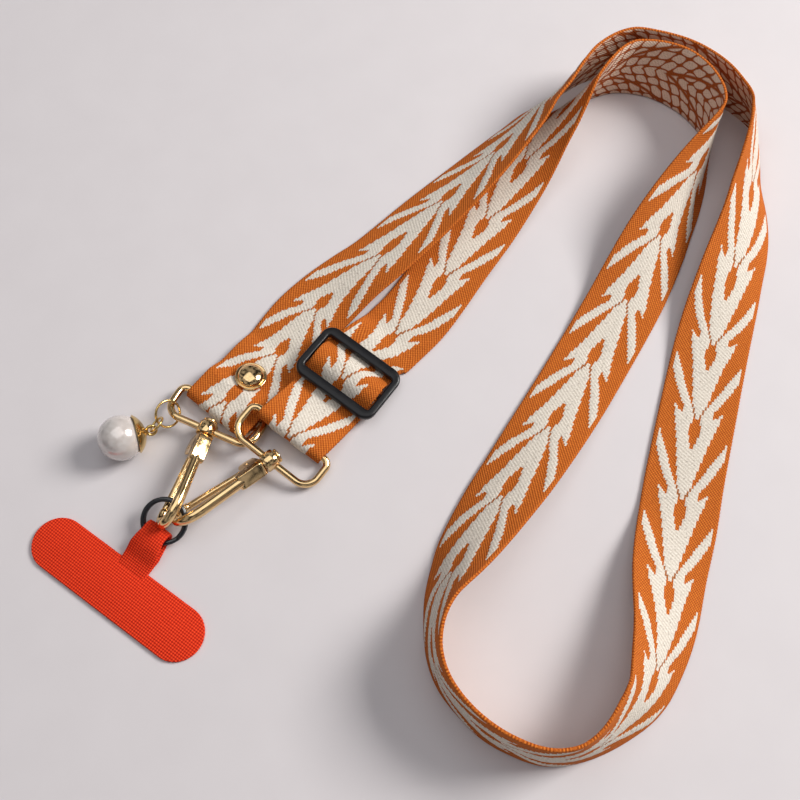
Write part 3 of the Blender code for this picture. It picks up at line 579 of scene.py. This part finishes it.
# %% Band mesh
# In mm: heights over the middle line, ways out of the edge and the back, and the edge's swing.
GROUND_HIGH, CREAM_HIGH, BACK_HIGH = 0.45, 0.72, -0.55
EDGE_OUT, BACK_OUT, SWING = 12.43, 12.2, 0.07


def band_rings():
    """Rings of (u, height) in mm laid on the middle line: point = line + across * u + over * height."""
    high = np.pad(cream.astype(float), ((1, 1), (1, 1)), mode="edge")
    high[:, 0] = high[:, -1] = 0
    at_points = (high[:-1, :-1] + high[1:, :-1] + high[:-1, 1:] + high[1:, 1:]) / 4
    count = len(stations)
    front_u = np.linspace(-FRONT / 2, FRONT / 2, CELLS + 1)
    back_u = np.linspace(BACK_OUT, -BACK_OUT, BACK_POINTS)
    swing = SWING * (-1.0) ** np.arange(count)[:, None]
    one = np.ones((count, 1))
    right, left = [EDGE_OUT + swing, EDGE_OUT - swing], [-EDGE_OUT + swing, -EDGE_OUT - swing]
    u = np.hstack([one * front_u, *right, one * back_u, *left])
    arch = GROUND_HIGH + (CREAM_HIGH - GROUND_HIGH) * at_points
    edge = np.hstack([0.25 * one, -0.25 * one])
    h = np.hstack([arch, edge, one * BACK_HIGH * np.ones(BACK_POINTS), -edge])
    rings = line[:, None] + (across[:, None] * u[..., None] + over[:, None] * h[..., None]) * MM
    lay = np.stack([u, np.broadcast_to(stations[:, None] / MM, u.shape), 0 * u], -1)
    return rings, lay


def attribute(mesh, name, kind, domain, values):
    """Named values on a mesh's faces or points."""
    made = mesh.attributes.new(name, kind, domain)
    field = "vector" if kind == "FLOAT_VECTOR" else "value"
    made.data.foreach_set(field, np.asarray(values, np.float32).ravel())


# %% [markdown]
# The finish lies on the band's own measures in mm. The ground has a diagonal twill grain, the cream yarn has
# soft ribs and fuzz, and the back shows rows of blocks where the floats cross behind.

# %% Woven finish


def woven_band():
    """Orange ground with a diagonal grain of brighter crossings, fluffy cream floats, and a darker back with
    rows of cream blocks. A face value says which yarn a cell shows, a point value where it lies in mm."""
    made, tree, shader = new_material("woven_band")

    def value(name):
        return node(tree, "ShaderNodeAttribute", attribute_name=name).outputs["Fac"]

    lay, u, s = measures(tree)
    rise = wave(tree, sums(tree, "ADD", u, s), 1.1)
    fall = wave(tree, sums(tree, "SUBTRACT", u, s), 0.9)
    uneven = noise(tree, lay, 1.3, 2)
    grain = spread(tree, sums(tree, "MULTIPLY_ADD", fall, 0.7, rise), -1.7, 2.1)
    fuzz = noise(tree, lay, 1.6, 4, 0.75)
    spots = sums(tree, "MULTIPLY", grain, spread(tree, uneven, 0.3, 0.7, 0.55, 1.0))
    ground = mix(tree, spots, (0.30, 0.046, 0.005), (0.84, 0.260, 0.036))
    ribs = spread(tree, wave(tree, sums(tree, "ADD", u, sums(tree, "MULTIPLY", s, 1.6)), 1.9), -1, 1)
    soft = sums(tree, "MULTIPLY_ADD", ribs, 0.22, sums(tree, "MULTIPLY", fuzz, 1.2))
    yarn = mix(tree, spread(tree, soft, 0.4, 1.0), (0.50, 0.43, 0.35), (0.86, 0.80, 0.71))
    ties = spread(tree, noise(tree, lay, 1.35, 0), 0.70, 0.76)
    yarn = mix(tree, sums(tree, "MULTIPLY", ties, 0.55), yarn, (0.30, 0.24, 0.20))
    front = mix(tree, value("cream"), ground, yarn)
    front = mix(tree, sums(tree, "MULTIPLY", value("seam"), 0.6), front, (0.26, 0.13, 0.06))
    slant = sums(tree, "MULTIPLY_ADD", sums(tree, "ABSOLUTE", u), 0.6, s)
    bent = sums(tree, "MULTIPLY_ADD", noise(tree, lay, 0.3, 1), 1.6, slant)
    sideways = sums(tree, "MULTIPLY_ADD", noise(tree, lay, 0.2, 1), 2.5, u)
    fan = sums(tree, "MULTIPLY_ADD", sums(tree, "ABSOLUTE", u), 2.4, s)
    fans = sums(tree, "ABSOLUTE", wave(tree, fan, 2 * REPEAT / MM))
    columns = sums(tree, "ABSOLUTE", wave(tree, sideways, 8.0))
    blocks = sums(tree, "MULTIPLY", columns, sums(tree, "ABSOLUTE", wave(tree, bent, 9.0)))
    block = sums(tree, "MULTIPLY", spread(tree, blocks, 0.14, 0.34), spread(tree, fans, 0.10, 0.26))
    back_ground = mix(tree, spots, (0.30, 0.055, 0.010), (0.52, 0.13, 0.025))
    back_yarn = mix(tree, 0.5, yarn, (0.95, 0.58, 0.38))
    back = mix(tree, block, back_ground, back_yarn)
    fill(tree, shader, {"Base Color": mix(tree, value("front"), back, front), "Roughness": 0.85,
                        "Specular IOR Level": 0.15})
    fluffy = sums(tree, "MULTIPLY_ADD", ribs, 0.3, sums(tree, "MULTIPLY", fuzz, 1.5))
    height = sums(tree, "MULTIPLY_ADD", value("cream"), sums(tree, "SUBTRACT", fluffy, grain), grain)
    bump(tree, shader, height, 0.22 * MM, 0.9)
    return made


def build_band():
    """The band's object, with what each cell shows and where each point lies."""
    rings, lay = band_rings()
    band = make("webbing", [skin(rings)], woven_band(), angle=60)
    around = rings.shape[1]
    faces = len(band.data.polygons)
    shown = {"cream": cream, "seam": seam, "front": np.ones(cream.shape)}
    for name, cells in shown.items():
        full = np.zeros((len(rings) - 1, around))
        full[:, :CELLS] = cells
        full[:, CELLS:CELLS + 3] = full[:, -3:] = name == "front"
        attribute(band.data, name, "FLOAT", "FACE", np.append(full.ravel(), np.zeros(faces - full.size)))
    attribute(band.data, "lay", "FLOAT_VECTOR", "POINT", lay)


build_band()

# %% [markdown]
# ## Slide buckle
# The buckle is a cast frame with rounded bars, painted satin black, with a round middle bar in its window.

# %% Slider
OUT_WIDE, OUT_DEEP = 31 * MM, 21 * MM
IN_WIDE, IN_DEEP = 25.8 * MM, 13.8 * MM
BARS_HIGH = 2.6 * MM
BAR_RADIUS, BAR_HALF = 1.0 * MM, 14.2 * MM


def rounded_loop(width, depth, near, far, per_corner):
    """Rectangle centred on x, from y = 0 to depth, with corner radii near at y = 0 and far at depth."""
    out = []
    half = width / 2
    for cx, cy, corner, first in ((half - near, near, near, -90), (half - far, depth - far, far, 0),
                                  (far - half, depth - far, far, 90), (near - half, near, near, 180)):
        a = np.radians(first + 90 * np.arange(per_corner + 1) / per_corner)
        out.append(np.column_stack([cx + corner * np.cos(a), cy + corner * np.sin(a)]))
    return np.vstack(out)


def frame_bars(outer, inner, thick, place, x, y, z):
    """Bars between two flat outlines with a squarish oval section: each power of cosine and sine below one
    fills the section's corners."""
    turn = np.linspace(0, 2 * math.pi, 24, endpoint=False)
    cos, sin = squared(np.cos(turn), 0.55), squared(np.sin(turn), 0.55)
    flat = (outer + inner)[:, None] / 2 + (outer - inner)[:, None] / 2 * cos[None, :, None]
    rings = place + x * flat[..., :1] + y * flat[..., 1:] + z * (thick / 2 * sin)[None, :, None]
    return skin(rings, joined=True)


def build_slider():
    """Frame from its outside to its window, tilted as it lies on the two layers, and its bar."""
    base, tilt, normal = through_buckle(0, 0, 0)
    y = unit(SLIDER_ALONG + normal * 1.5 / 17.4)
    x = unit(tilt)
    z = np.cross(x, y)
    place = base + normal * 3.15 * MM
    outer = rounded_loop(OUT_WIDE, OUT_DEEP, 4.2 * MM, 4.2 * MM, 10) - (0, OUT_DEEP / 2)
    inner = rounded_loop(IN_WIDE, IN_DEEP, 0.9 * MM, 0.9 * MM, 10) - (0, IN_DEEP / 2)
    bars = frame_bars(outer, inner, BARS_HIGH, place, x, y, z)
    bar = rounded_rod(base + normal * CURL, x, BAR_RADIUS, -BAR_HALF, BAR_HALF)
    make("slider", [bars, bar], BLACK)


build_slider()

# %% [markdown]
# ## Rivet
# A cap rivet: a thin turned rim, a polished dome on it and a post through both layers of the fold.

# %% Rivet
RIVET_LEAN, RIVET_BACK = 11.5, 18 * MM


def build_rivet():
    """Rim, dome and post turned about one axis that leans with the fold."""
    lean = math.radians(RIVET_LEAN)
    axis = unit(UP * math.cos(lean) + FOLD_ALONG * math.sin(lean))
    seat = FOLD_AT + FOLD_ALONG * RIVET_BACK + UP * (THICK * 3.2 + 0.3 * MM)
    a = np.radians(np.linspace(0, 90, 14))
    rise = [(4.95 + 0.25 * math.sin(t), 0.25 - 0.25 * math.cos(t)) for t in a]
    fall = [(4.85 + 0.35 * math.cos(t), 0.55 + 0.35 * math.sin(t)) for t in a]
    dome = [(4.3 * math.cos(t) + 0.02, 0.85 + 2.35 * math.sin(t)) for t in a]
    rows = [(0.02, 0), *rise, *fall, (4.6, 0.82), (4.4, 0.78), *dome]
    cap = turned(seat, axis, np.array(rows) * MM, 64)
    post = rounded_rod(seat, axis, 0.9 * MM, -(seat[2] - 0.25 * MM) / axis[2], 0.45 * MM, 24)
    make("rivet", [cap, post], GOLD)


build_rivet()

# %% [markdown]
# ## D-rings
# Each ring is bent from round wire and soldered to a short barrel, in which the hook's post turns.

# %% D-rings
DEE_WIDE, DEE_DEEP, DEE_WIRE = 30.6 * MM, 11.4 * MM, 1.2 * MM
# Columns: radius, and way along the barrel's axis.
BARREL = np.array([(1.9, -1.9), (2.0, -2.05), (2.85, -2.1), (3.1, -1.8), (3.1, 1.8), (2.85, 2.1), (2.0, 2.05),
                   (1.9, 1.9)]) * MM


def build_dee(name, bar, x, y, hook_way):
    """Wire loop in the plane of x and y, its back bar at the origin, and the barrel at its front."""
    loop = rounded_loop(DEE_WIDE, DEE_DEEP, 2.4 * MM, 5.0 * MM, 12)
    path = bar + x * loop[:, :1] + y * loop[:, 1:]
    wire = tube(path, np.cross(x, y), DEE_WIRE, DEE_WIRE, 28, joined=True)
    swivel = bar + y * DEE_DEEP
    make(name, [wire, tube_of_rows(swivel, hook_way, BARREL, 48)], GOLD)
    return swivel


HOOK_1_WAY = np.array([-9.34, -32.03, 5.5])
HOOK_2_WAY = np.array([-27.5, -20.8, 2.0])
x_1 = heading(-24.0)
y_1 = unit(heading(246.0) + UP * math.tan(math.radians(12.5)))
start_1 = bar_1 + FOLD_ALONG * 6 * MM - right_of(FOLD_ALONG) * 1 * MM
end_2, tilt_2, normal_2 = bar_2
y_2 = unit(SLIDER_ALONG + normal_2 * 0.03)
x_2 = unit(y_2 * (tilt_2 @ y_2) - tilt_2)
swivel_1 = build_dee("swivel_ring_1", start_1, x_1, y_1, HOOK_1_WAY)
swivel_2 = build_dee("swivel_ring_2", end_2, x_2, y_2, HOOK_2_WAY)
print("swivels at", np.round(1000 * swivel_1, 1), np.round(1000 * swivel_2, 1), "mm")

# %% [markdown]
# ## Snap hooks
# The hook is cast: a shoulder with two cheeks that hold the gate's pin, and an arm that bows round to a nose.
# The gate is a grooved bar that closes onto the nose, with a knuckle round its pin.

# %% Snap hooks
HOOK_REACH = 34 * MM
# Columns: shares of HOOK_REACH along the hook from its swivel, and toward the gate side.
ARM = ((0.15, -0.020), (0.265, -0.056), (0.44, -0.079), (0.65, -0.103), (0.79, -0.115), (0.897, -0.094),
       (0.97, -0.035), (1.0, 0.041), (0.976, 0.124), (0.912, 0.176), (0.833, 0.182))
CHEEK = ((0.078, -0.070), (0.078, 0.070), (0.105, 0.142), (0.165, 0.172), (0.235, 0.165), (0.272, 0.120),
         (0.285, 0.020), (0.350, -0.022), (0.350, -0.100), (0.180, -0.098))
BACK_WALL = ((0.078, -0.070), (0.078, 0.070), (0.105, 0.142), (0.114, 0.142), (0.121, 0.030), (0.200, 0.026),
             (0.280, 0.010), (0.350, -0.030), (0.350, -0.100), (0.180, -0.098))
GATE_PIN = (0.194, 0.106)
GATE_TIP = (0.8205, 0.176)
CHEEK_LOW, CHEEK_HIGH, CHEEK_EDGE = 1.57 * MM, 2.3 * MM, 0.3 * MM
# Radii of post and heads, the heads' way out, and half of the gate's pin.
POST, HEAD, COLLAR, PIN_HALF = 1.6 * MM, 2.4 * MM, 2.4 * MM, 2.42 * MM
KNUCKLE = np.array([(1.0, -1.15), (1.15, -1.25), (1.7, -1.25), (1.9, -1.05), (1.9, 1.05), (1.7, 1.25),
                    (1.15, 1.25), (1.0, 1.15)]) * MM
GATE_WIDE, GATE_HIGH, GATE_SIDES, GROOVES = 1.04 * MM, 1.18 * MM, 60, 6


def gate_bar(pin, tip, z):
    """Straight bar whose section has six shallow grooves: its half widths fall by 9 % at each."""
    path = pin + (tip - pin) * np.linspace(0, 1, 30)[:, None]
    points, faces = tube(path, z, GATE_WIDE, GATE_HIGH, GATE_SIDES, round_ends=0.3 * MM)
    way = unit(tip - pin)
    along = (points - pin) @ way
    turn = (np.arange(len(points)) % GATE_SIDES + 0.5) * 2 * math.pi / GATE_SIDES
    shrink = 0.09 * (0.5 + 0.5 * np.cos(GROOVES * turn)) ** 3
    off = points - pin - along[:, None] * way
    return points - off * shrink[:, None], faces


def build_hook(number, swivel, direction, roll):
    """Hook and gate in the hook's own axes: x from the swivel, y toward the gate, z across the cheeks."""
    x = unit(direction)
    level = -unit(np.cross(UP, x))
    rise = np.cross(x, level)
    rise = rise if rise[2] > 0 else -rise
    a = math.radians(roll)
    y = math.cos(a) * level + math.sin(a) * rise
    z = np.cross(x, y)

    def at(px, py, pz=0.0):
        px, py = np.atleast_1d(px), np.atleast_1d(py)
        return swivel + (px[:, None] * x + py[:, None] * y) * HOOK_REACH + z * pz

    share = np.array(ARM)
    path = smooth(at(share[:, 0], share[:, 1]), 0.7 * MM)
    size = np.interp(np.linspace(0, 1, len(path)), (0, 0.55, 0.8, 0.94, 1), (1.05, 1.05, 1.0, 0.9, 0.86))
    arm = tube(path, z, 1.35 * MM * size, 1.6 * MM * size, 28, round_ends=0.25 * MM)

    def place(px, py, pz):
        return at(px / HOOK_REACH, py / HOOK_REACH, pz)

    def plate(outline, low, high):
        return slab(round_trip(outline, 0.02) * HOOK_REACH, place, low, high, CHEEK_EDGE)

    pin, tip = at(*GATE_PIN)[0], at(*GATE_TIP)[0]
    parts = [arm, plate(CHEEK, CHEEK_LOW, CHEEK_HIGH), plate(CHEEK, -CHEEK_HIGH, -CHEEK_LOW),
             plate(BACK_WALL, -CHEEK_HIGH, CHEEK_HIGH),
             rounded_rod(pin, z, 0.72 * MM, -PIN_HALF, PIN_HALF, 24, 0.1 * MM),
             rounded_rod(swivel, x, POST, -COLLAR - 0.2 * MM, 3.4 * MM),
             rounded_rod(swivel, x, HEAD, COLLAR, COLLAR + 2.2 * MM, 40, 0.45 * MM),
             rounded_rod(swivel, x, HEAD, -COLLAR - 1.0 * MM, -COLLAR, 40, 0.4 * MM)]
    make(f"hook_{number}", parts, GOLD, f"hook_{number}")
    gate = [gate_bar(pin + unit(tip - pin) * 1.5 * MM, tip, z), tube_of_rows(pin, z, KNUCKLE, 40)]
    make(f"gate_{number}", gate, GOLD, f"gate_{number}")
    return tip


tip_1 = build_hook(1, swivel_1, HOOK_1_WAY, -58)
tip_2 = build_hook(2, swivel_2, HOOK_2_WAY, -51)
print("gate tips at", np.round(1000 * tip_1, 1), np.round(1000 * tip_2, 1), "mm")

# %% [markdown]
# ## Black ring
# Both hooks hold a split ring: flat wire wound twice, stepping from one turn to the next.

# %% Split ring
RING_RADIUS, RING_STEP = 6.7 * MM, 0.88 * MM
LOOP_AT = np.array([-0.7274, -0.4243, 0.05]) * SPAN + SHIFT
TAB_AT = np.array([-0.8149, -0.5528, 0]) * SPAN + SHIFT
STEM = unit((0.574, 0.819, 0))
STEM_RIGHT = right_of(STEM)
LEAN = math.radians(-8.0)


def build_ring():
    """Two turns: the wire rises by its own thickness over a short stretch between them."""
    tilt = math.radians(21.0)
    far = STEM * math.cos(tilt) + UP * math.sin(tilt)
    side = STEM_RIGHT * math.cos(LEAN) + np.cross(STEM_RIGHT, far) * math.sin(LEAN)
    axis = unit(np.cross(side, far))
    t = np.linspace(0.4, 4 * math.pi - 0.4, 190)
    share = np.clip((t - 2 * math.pi + 0.33) / 0.66, 0, 1)
    lift = (share * share * (3 - 2 * share) - 0.5) * RING_STEP
    circle = np.cos(t + 2.2)[:, None] * far + np.sin(t + 2.2)[:, None] * side
    path = LOOP_AT + RING_RADIUS * circle + axis * lift[:, None]
    wire = tube(path, axis, 0.78 * MM, 0.42 * MM, 16, round_ends=0.3 * MM)
    make("tether_ring", [wire], BLACK_GLOSS)


build_ring()

# %% [markdown]
# ## Red tab
# The tab is woven nylon tape: a pad that lies under a phone in its case, and a narrower stem folded over the
# ring and sewn down.

# %% Red tab
TAB_LENGTH, TAB_WIDTH, TAB_THICK = 64.3 * MM, 17.1 * MM, 1.0 * MM
# Period in mm of each of the two crossed waves of the tab's weave.
WEAVE_STEP = 1.62
# Columns: way along the stem and height of its middle in mm, and share of LEAN.
STEM_LOW = ((-3.0, 0.5, 0), (2.0, 0.5, 0), (6.0, 0.5, 0), (8.6, 0.6, 0.15), (9.9, 0.95, 0.55))
STEM_HIGH = ((9.6, 5.4, 1), (8.0, 5.05, 0.9), (6.0, 4.2, 0.6), (4.0, 2.9, 0.3), (2.2, 1.75, 0.1),
             (0.4, 1.1, 0), (-1.2, 0.75, 0), (-2.4, 0.55, 0))


def red_weave():
    """Matte nylon tape: two crossed waves at 45 degrees make the diamonds of its weave, 1.15 mm apart."""
    made, tree, shader = new_material("red_weave")
    lay, u, s = measures(tree)
    rise = wave(tree, sums(tree, "ADD", u, s), WEAVE_STEP)
    cross = sums(tree, "MULTIPLY", rise, wave(tree, sums(tree, "SUBTRACT", u, s), WEAVE_STEP))
    uneven = noise(tree, lay, 1.1, 3, 0.6)
    dots = spread(tree, sums(tree, "MULTIPLY_ADD", uneven, 0.7, cross), -0.3, 1.2)
    colour = mix(tree, dots, (0.50, 0.012, 0.003), (0.93, 0.070, 0.018))
    fill(tree, shader, {"Base Color": colour, "Roughness": 0.8, "Specular IOR Level": 0.15})
    bump(tree, shader, sums(tree, "MULTIPLY_ADD", uneven, 0.6, cross), 0.13 * MM, 0.8)
    return made


def stem_skin():
    """Band through the stem's rows with a rounded flat section, narrower where it passes the ring."""
    turns = np.radians(np.linspace(-90, 90, 13))
    bend = [(11.35 + 2.0 * math.cos(a), 3.48 + 2.0 * math.sin(a), 1) for a in turns]
    rows = smooth(np.array([*STEM_LOW, *bend, *STEM_HIGH]) * MM, 0.5 * MM) / MM
    line = TAB_AT + (STEM * rows[:, :1] + UP * rows[:, 1:2]) * MM
    lean = LEAN * rows[:, 2:]
    side = STEM_RIGHT * np.cos(lean) + UP * np.sin(lean)
    over = unit(np.cross(side, np.gradient(line, axis=0)))
    half = np.interp(rows[:, 0], (5, 10), (5.2, 4.1))
    turn = (np.arange(28) + 0.5) * 2 * math.pi / 28
    sin = squared(np.sin(turn), 0.4)
    u = half[:, None] * squared(np.cos(turn), 0.6)
    rings = line[:, None] + (side[:, None] * u[..., None] + (over[:, None] * sin[None, :, None]) * 0.5) * MM
    way = np.broadcast_to(lengths(line)[:, None] / MM, u.shape)
    return skin(rings), np.stack([u, way, 0 * u], -1).reshape(-1, 3)


def build_tab():
    """Pad with two round ends and a turned-over rim, and its stem."""
    half = TAB_WIDTH / 2
    pad_at = TAB_AT - STEM * half
    straight = TAB_LENGTH / 2 - half
    ends = []
    for sign, first in ((1, -90), (-1, 90)):
        a = np.radians(first + np.linspace(0, 180, 33))
        ends.append(np.column_stack([sign * straight + half * np.cos(a), half * np.sin(a)]))
    outline = np.vstack(ends)

    def at(px, py, z):
        return pad_at - STEM_RIGHT * px[:, None] + STEM * py[:, None] + UP * z

    pad = slab(outline, at, 0.0, TAB_THICK, 0.32 * MM)
    flat = (pad[0] - pad_at) / MM
    pad_lay = np.column_stack([flat @ STEM_RIGHT, flat @ STEM, 0 * flat[:, 0]])
    stem, stem_lay = stem_skin()
    tab = make("phone_tab", [pad, stem], red_weave())
    attribute(tab.data, "lay", "FLOAT_VECTOR", "POINT", np.vstack([pad_lay, stem_lay]))


build_tab()

# %% [markdown]
# ## Pearl charm
# A pearl sits in a small plated cup with a loop. Two jump rings of thin wire hang it on the D-ring. The nacre
# is pale and glossy, with a thin clear layer over it that tints its highlights.

# %% Charm
PEARL_AT = np.array([-0.884, -0.16, 0.0735]) * SPAN + SHIFT
PEARL_AXIS = unit((0.92, 0.34, -0.20))
PEARL_RADIUS, CUP_IN, CUP_OUT = 7.25 * MM, 7.55 * MM, 8.05 * MM
LOOP_RADIUS, LOOP_WIRE, JUMP_WIRE = 1.5 * MM, 0.5 * MM, 0.4 * MM
# Columns: name, place as shares of SPAN, face, radius.
JUMP_RINGS = (
    ("charm_ring_small", (-0.778, -0.11, 0.062), (-0.663, 0.383, 0.643), 2.7 * MM),
    ("charm_ring_large", (-0.746, -0.071, 0.056), (0.663, -0.383, 0.643), 4.3 * MM),
)


def nacre():
    """Pale pearl: a warm white that drifts to rose and to grey in wide clouds, under a clear coat."""
    made, tree, shader = new_material("nacre")
    where = node(tree, "ShaderNodeTexCoord").outputs["Object"]
    clouds = noise(tree, where, 130, 2)
    colour = mix(tree, spread(tree, clouds, 0.35, 0.65), (0.64, 0.60, 0.57), (0.67, 0.60, 0.56))
    rough = spread(tree, noise(tree, where, 420, 2), 0.3, 0.7, 0.16, 0.22)
    fill(tree, shader, {"Base Color": colour, "Roughness": rough, "Metallic": 0.2, "Coat Weight": 1.0,
                        "Coat Roughness": 0.08, "Thin Film Thickness": 380, "Thin Film IOR": 1.5})
    bump(tree, shader, clouds, 0.01 * MM)
    return made


def circle_path(centre, normal, radius, count, gap=0.0):
    """Circle about a normal, open by an angle if asked."""
    normal = unit(normal)
    side = unit(np.cross(normal, ASKEW))
    t = np.linspace(gap / 2, 2 * math.pi - gap / 2, count, endpoint=bool(gap))[:, None]
    return centre + radius * (np.cos(t) * side + np.sin(t) * np.cross(normal, side))


def build_charm():
    """Pearl, cup with its loop, and the two jump rings, each with the thin slit where it was closed."""
    a = np.radians(np.linspace(0.5, 179.5, 61))
    ball = PEARL_RADIUS * np.column_stack([np.sin(a), -np.cos(a)])
    make("pearl", [turned(PEARL_AT, PEARL_AXIS, ball, 80)], nacre())
    a = np.radians(np.linspace(0.5, 52, 26))
    inner = CUP_IN * np.column_stack([np.sin(a), np.cos(a)])
    outer = CUP_OUT * np.column_stack([np.sin(a), np.cos(a)])[::-1]
    lip = [(inner[-1] + outer[0]) / 2 + 0.12 * MM * np.array([math.cos(a[-1]), -math.sin(a[-1])])]
    cup = turned(PEARL_AT, PEARL_AXIS, np.vstack([inner, lip, outer]), 80)
    loop_at = PEARL_AT + PEARL_AXIS * 9.75 * MM
    face = unit(np.cross(np.cross(PEARL_AXIS, (0.2, -0.7, 0.7)), PEARL_AXIS))
    loop = tube(circle_path(loop_at, face, LOOP_RADIUS, 40), face, LOOP_WIRE, LOOP_WIRE, 14, joined=True)
    make("pearl_cup", [cup, loop], OLD_GOLD)
    for name, place, face, radius in JUMP_RINGS:
        path = circle_path(np.array(place) * SPAN + SHIFT, face, radius, 72, 0.02)
        make(name, [tube(path, unit(face), JUMP_WIRE, JUMP_WIRE, 12)], OLD_GOLD)


build_charm()

# %% [markdown]
# ## Table and light
# A plain pale table. One large soft lamp stands to the right and behind and throws soft shadows to the lower
# left, a wide weak one hangs over the lay, and the room has dark and light patches for the metal to mirror.

# %% Stage


def table():
    """Pale matte sheet, 3 m square, with a faint mottle, just under the lay."""
    made, tree, shader = new_material("table")
    where = node(tree, "ShaderNodeTexCoord").outputs["Object"]
    shade = spread(tree, noise(tree, where, 60, 4), 0.3, 0.7)
    colour = mix(tree, shade, (0.628, 0.594, 0.606), (0.643, 0.609, 0.621))
    fill(tree, shader, {"Base Color": colour, "Roughness": 0.7, "Specular IOR Level": 0.2})
    mesh = bpy.data.meshes.new("table")
    corners = [(-1.5, -1.5, 0), (1.5, -1.5, 0), (1.5, 1.5, 0), (-1.5, 1.5, 0)]
    mesh.from_pydata(corners, [], [(0, 1, 2, 3)])
    mesh.materials.append(made)
    thing = add("table", mesh)
    thing.location = (0, 0, -0.1 * MM)
    thing.rotation_euler = (0, 0, math.pi)


def lamp(name, place, wide, high, power, colour):
    """Rectangular area light that faces the middle of the lay."""
    light = bpy.data.lights.new(name, "AREA")
    light.shape = "RECTANGLE"
    light.size, light.size_y, light.energy, light.color = wide, high, power, colour
    thing = add(name, light)
    thing.location = place
    thing.rotation_euler = Vector(place).to_track_quat("Z", "Y").to_euler()


def surround():
    """World light: a pale room whose brightness drifts in wide patches with direction."""
    world = bpy.data.worlds.new("room")
    world.use_nodes = True
    tree = world.node_tree
    where = node(tree, "ShaderNodeTexCoord").outputs["Generated"]
    patches = spread(tree, noise(tree, where, 3.0, 1), 0.42, 0.58)
    colour = mix(tree, patches, (0.03, 0.028, 0.03), (0.95, 0.93, 0.96))
    fill(tree, tree.nodes["Background"], {"Color": colour, "Strength": 0.42})
    bpy.context.scene.world = world


table()
surround()
lamp("key", (1.02, 0.30, 0.86), 0.56, 0.56, 21.5, (1, 0.98, 0.95))
lamp("fill", (-0.1, 0.1, 0.95), 0.9, 0.9, 3.0, (0.97, 0.98, 1))
bpy.context.scene.view_settings.view_transform = "Standard"

# %% [markdown]
# ## Camera
# The view leans back a little from straight down.

# %% Camera
camera = add("camera", bpy.data.cameras.new("camera"))
bpy.context.scene.camera = camera
camera.data.lens, camera.data.sensor_width = 45, 36
camera.location = (-0.0087589, -0.1358182, 0.3045)
camera.rotation_euler = (math.radians(22.4), 0, 0)
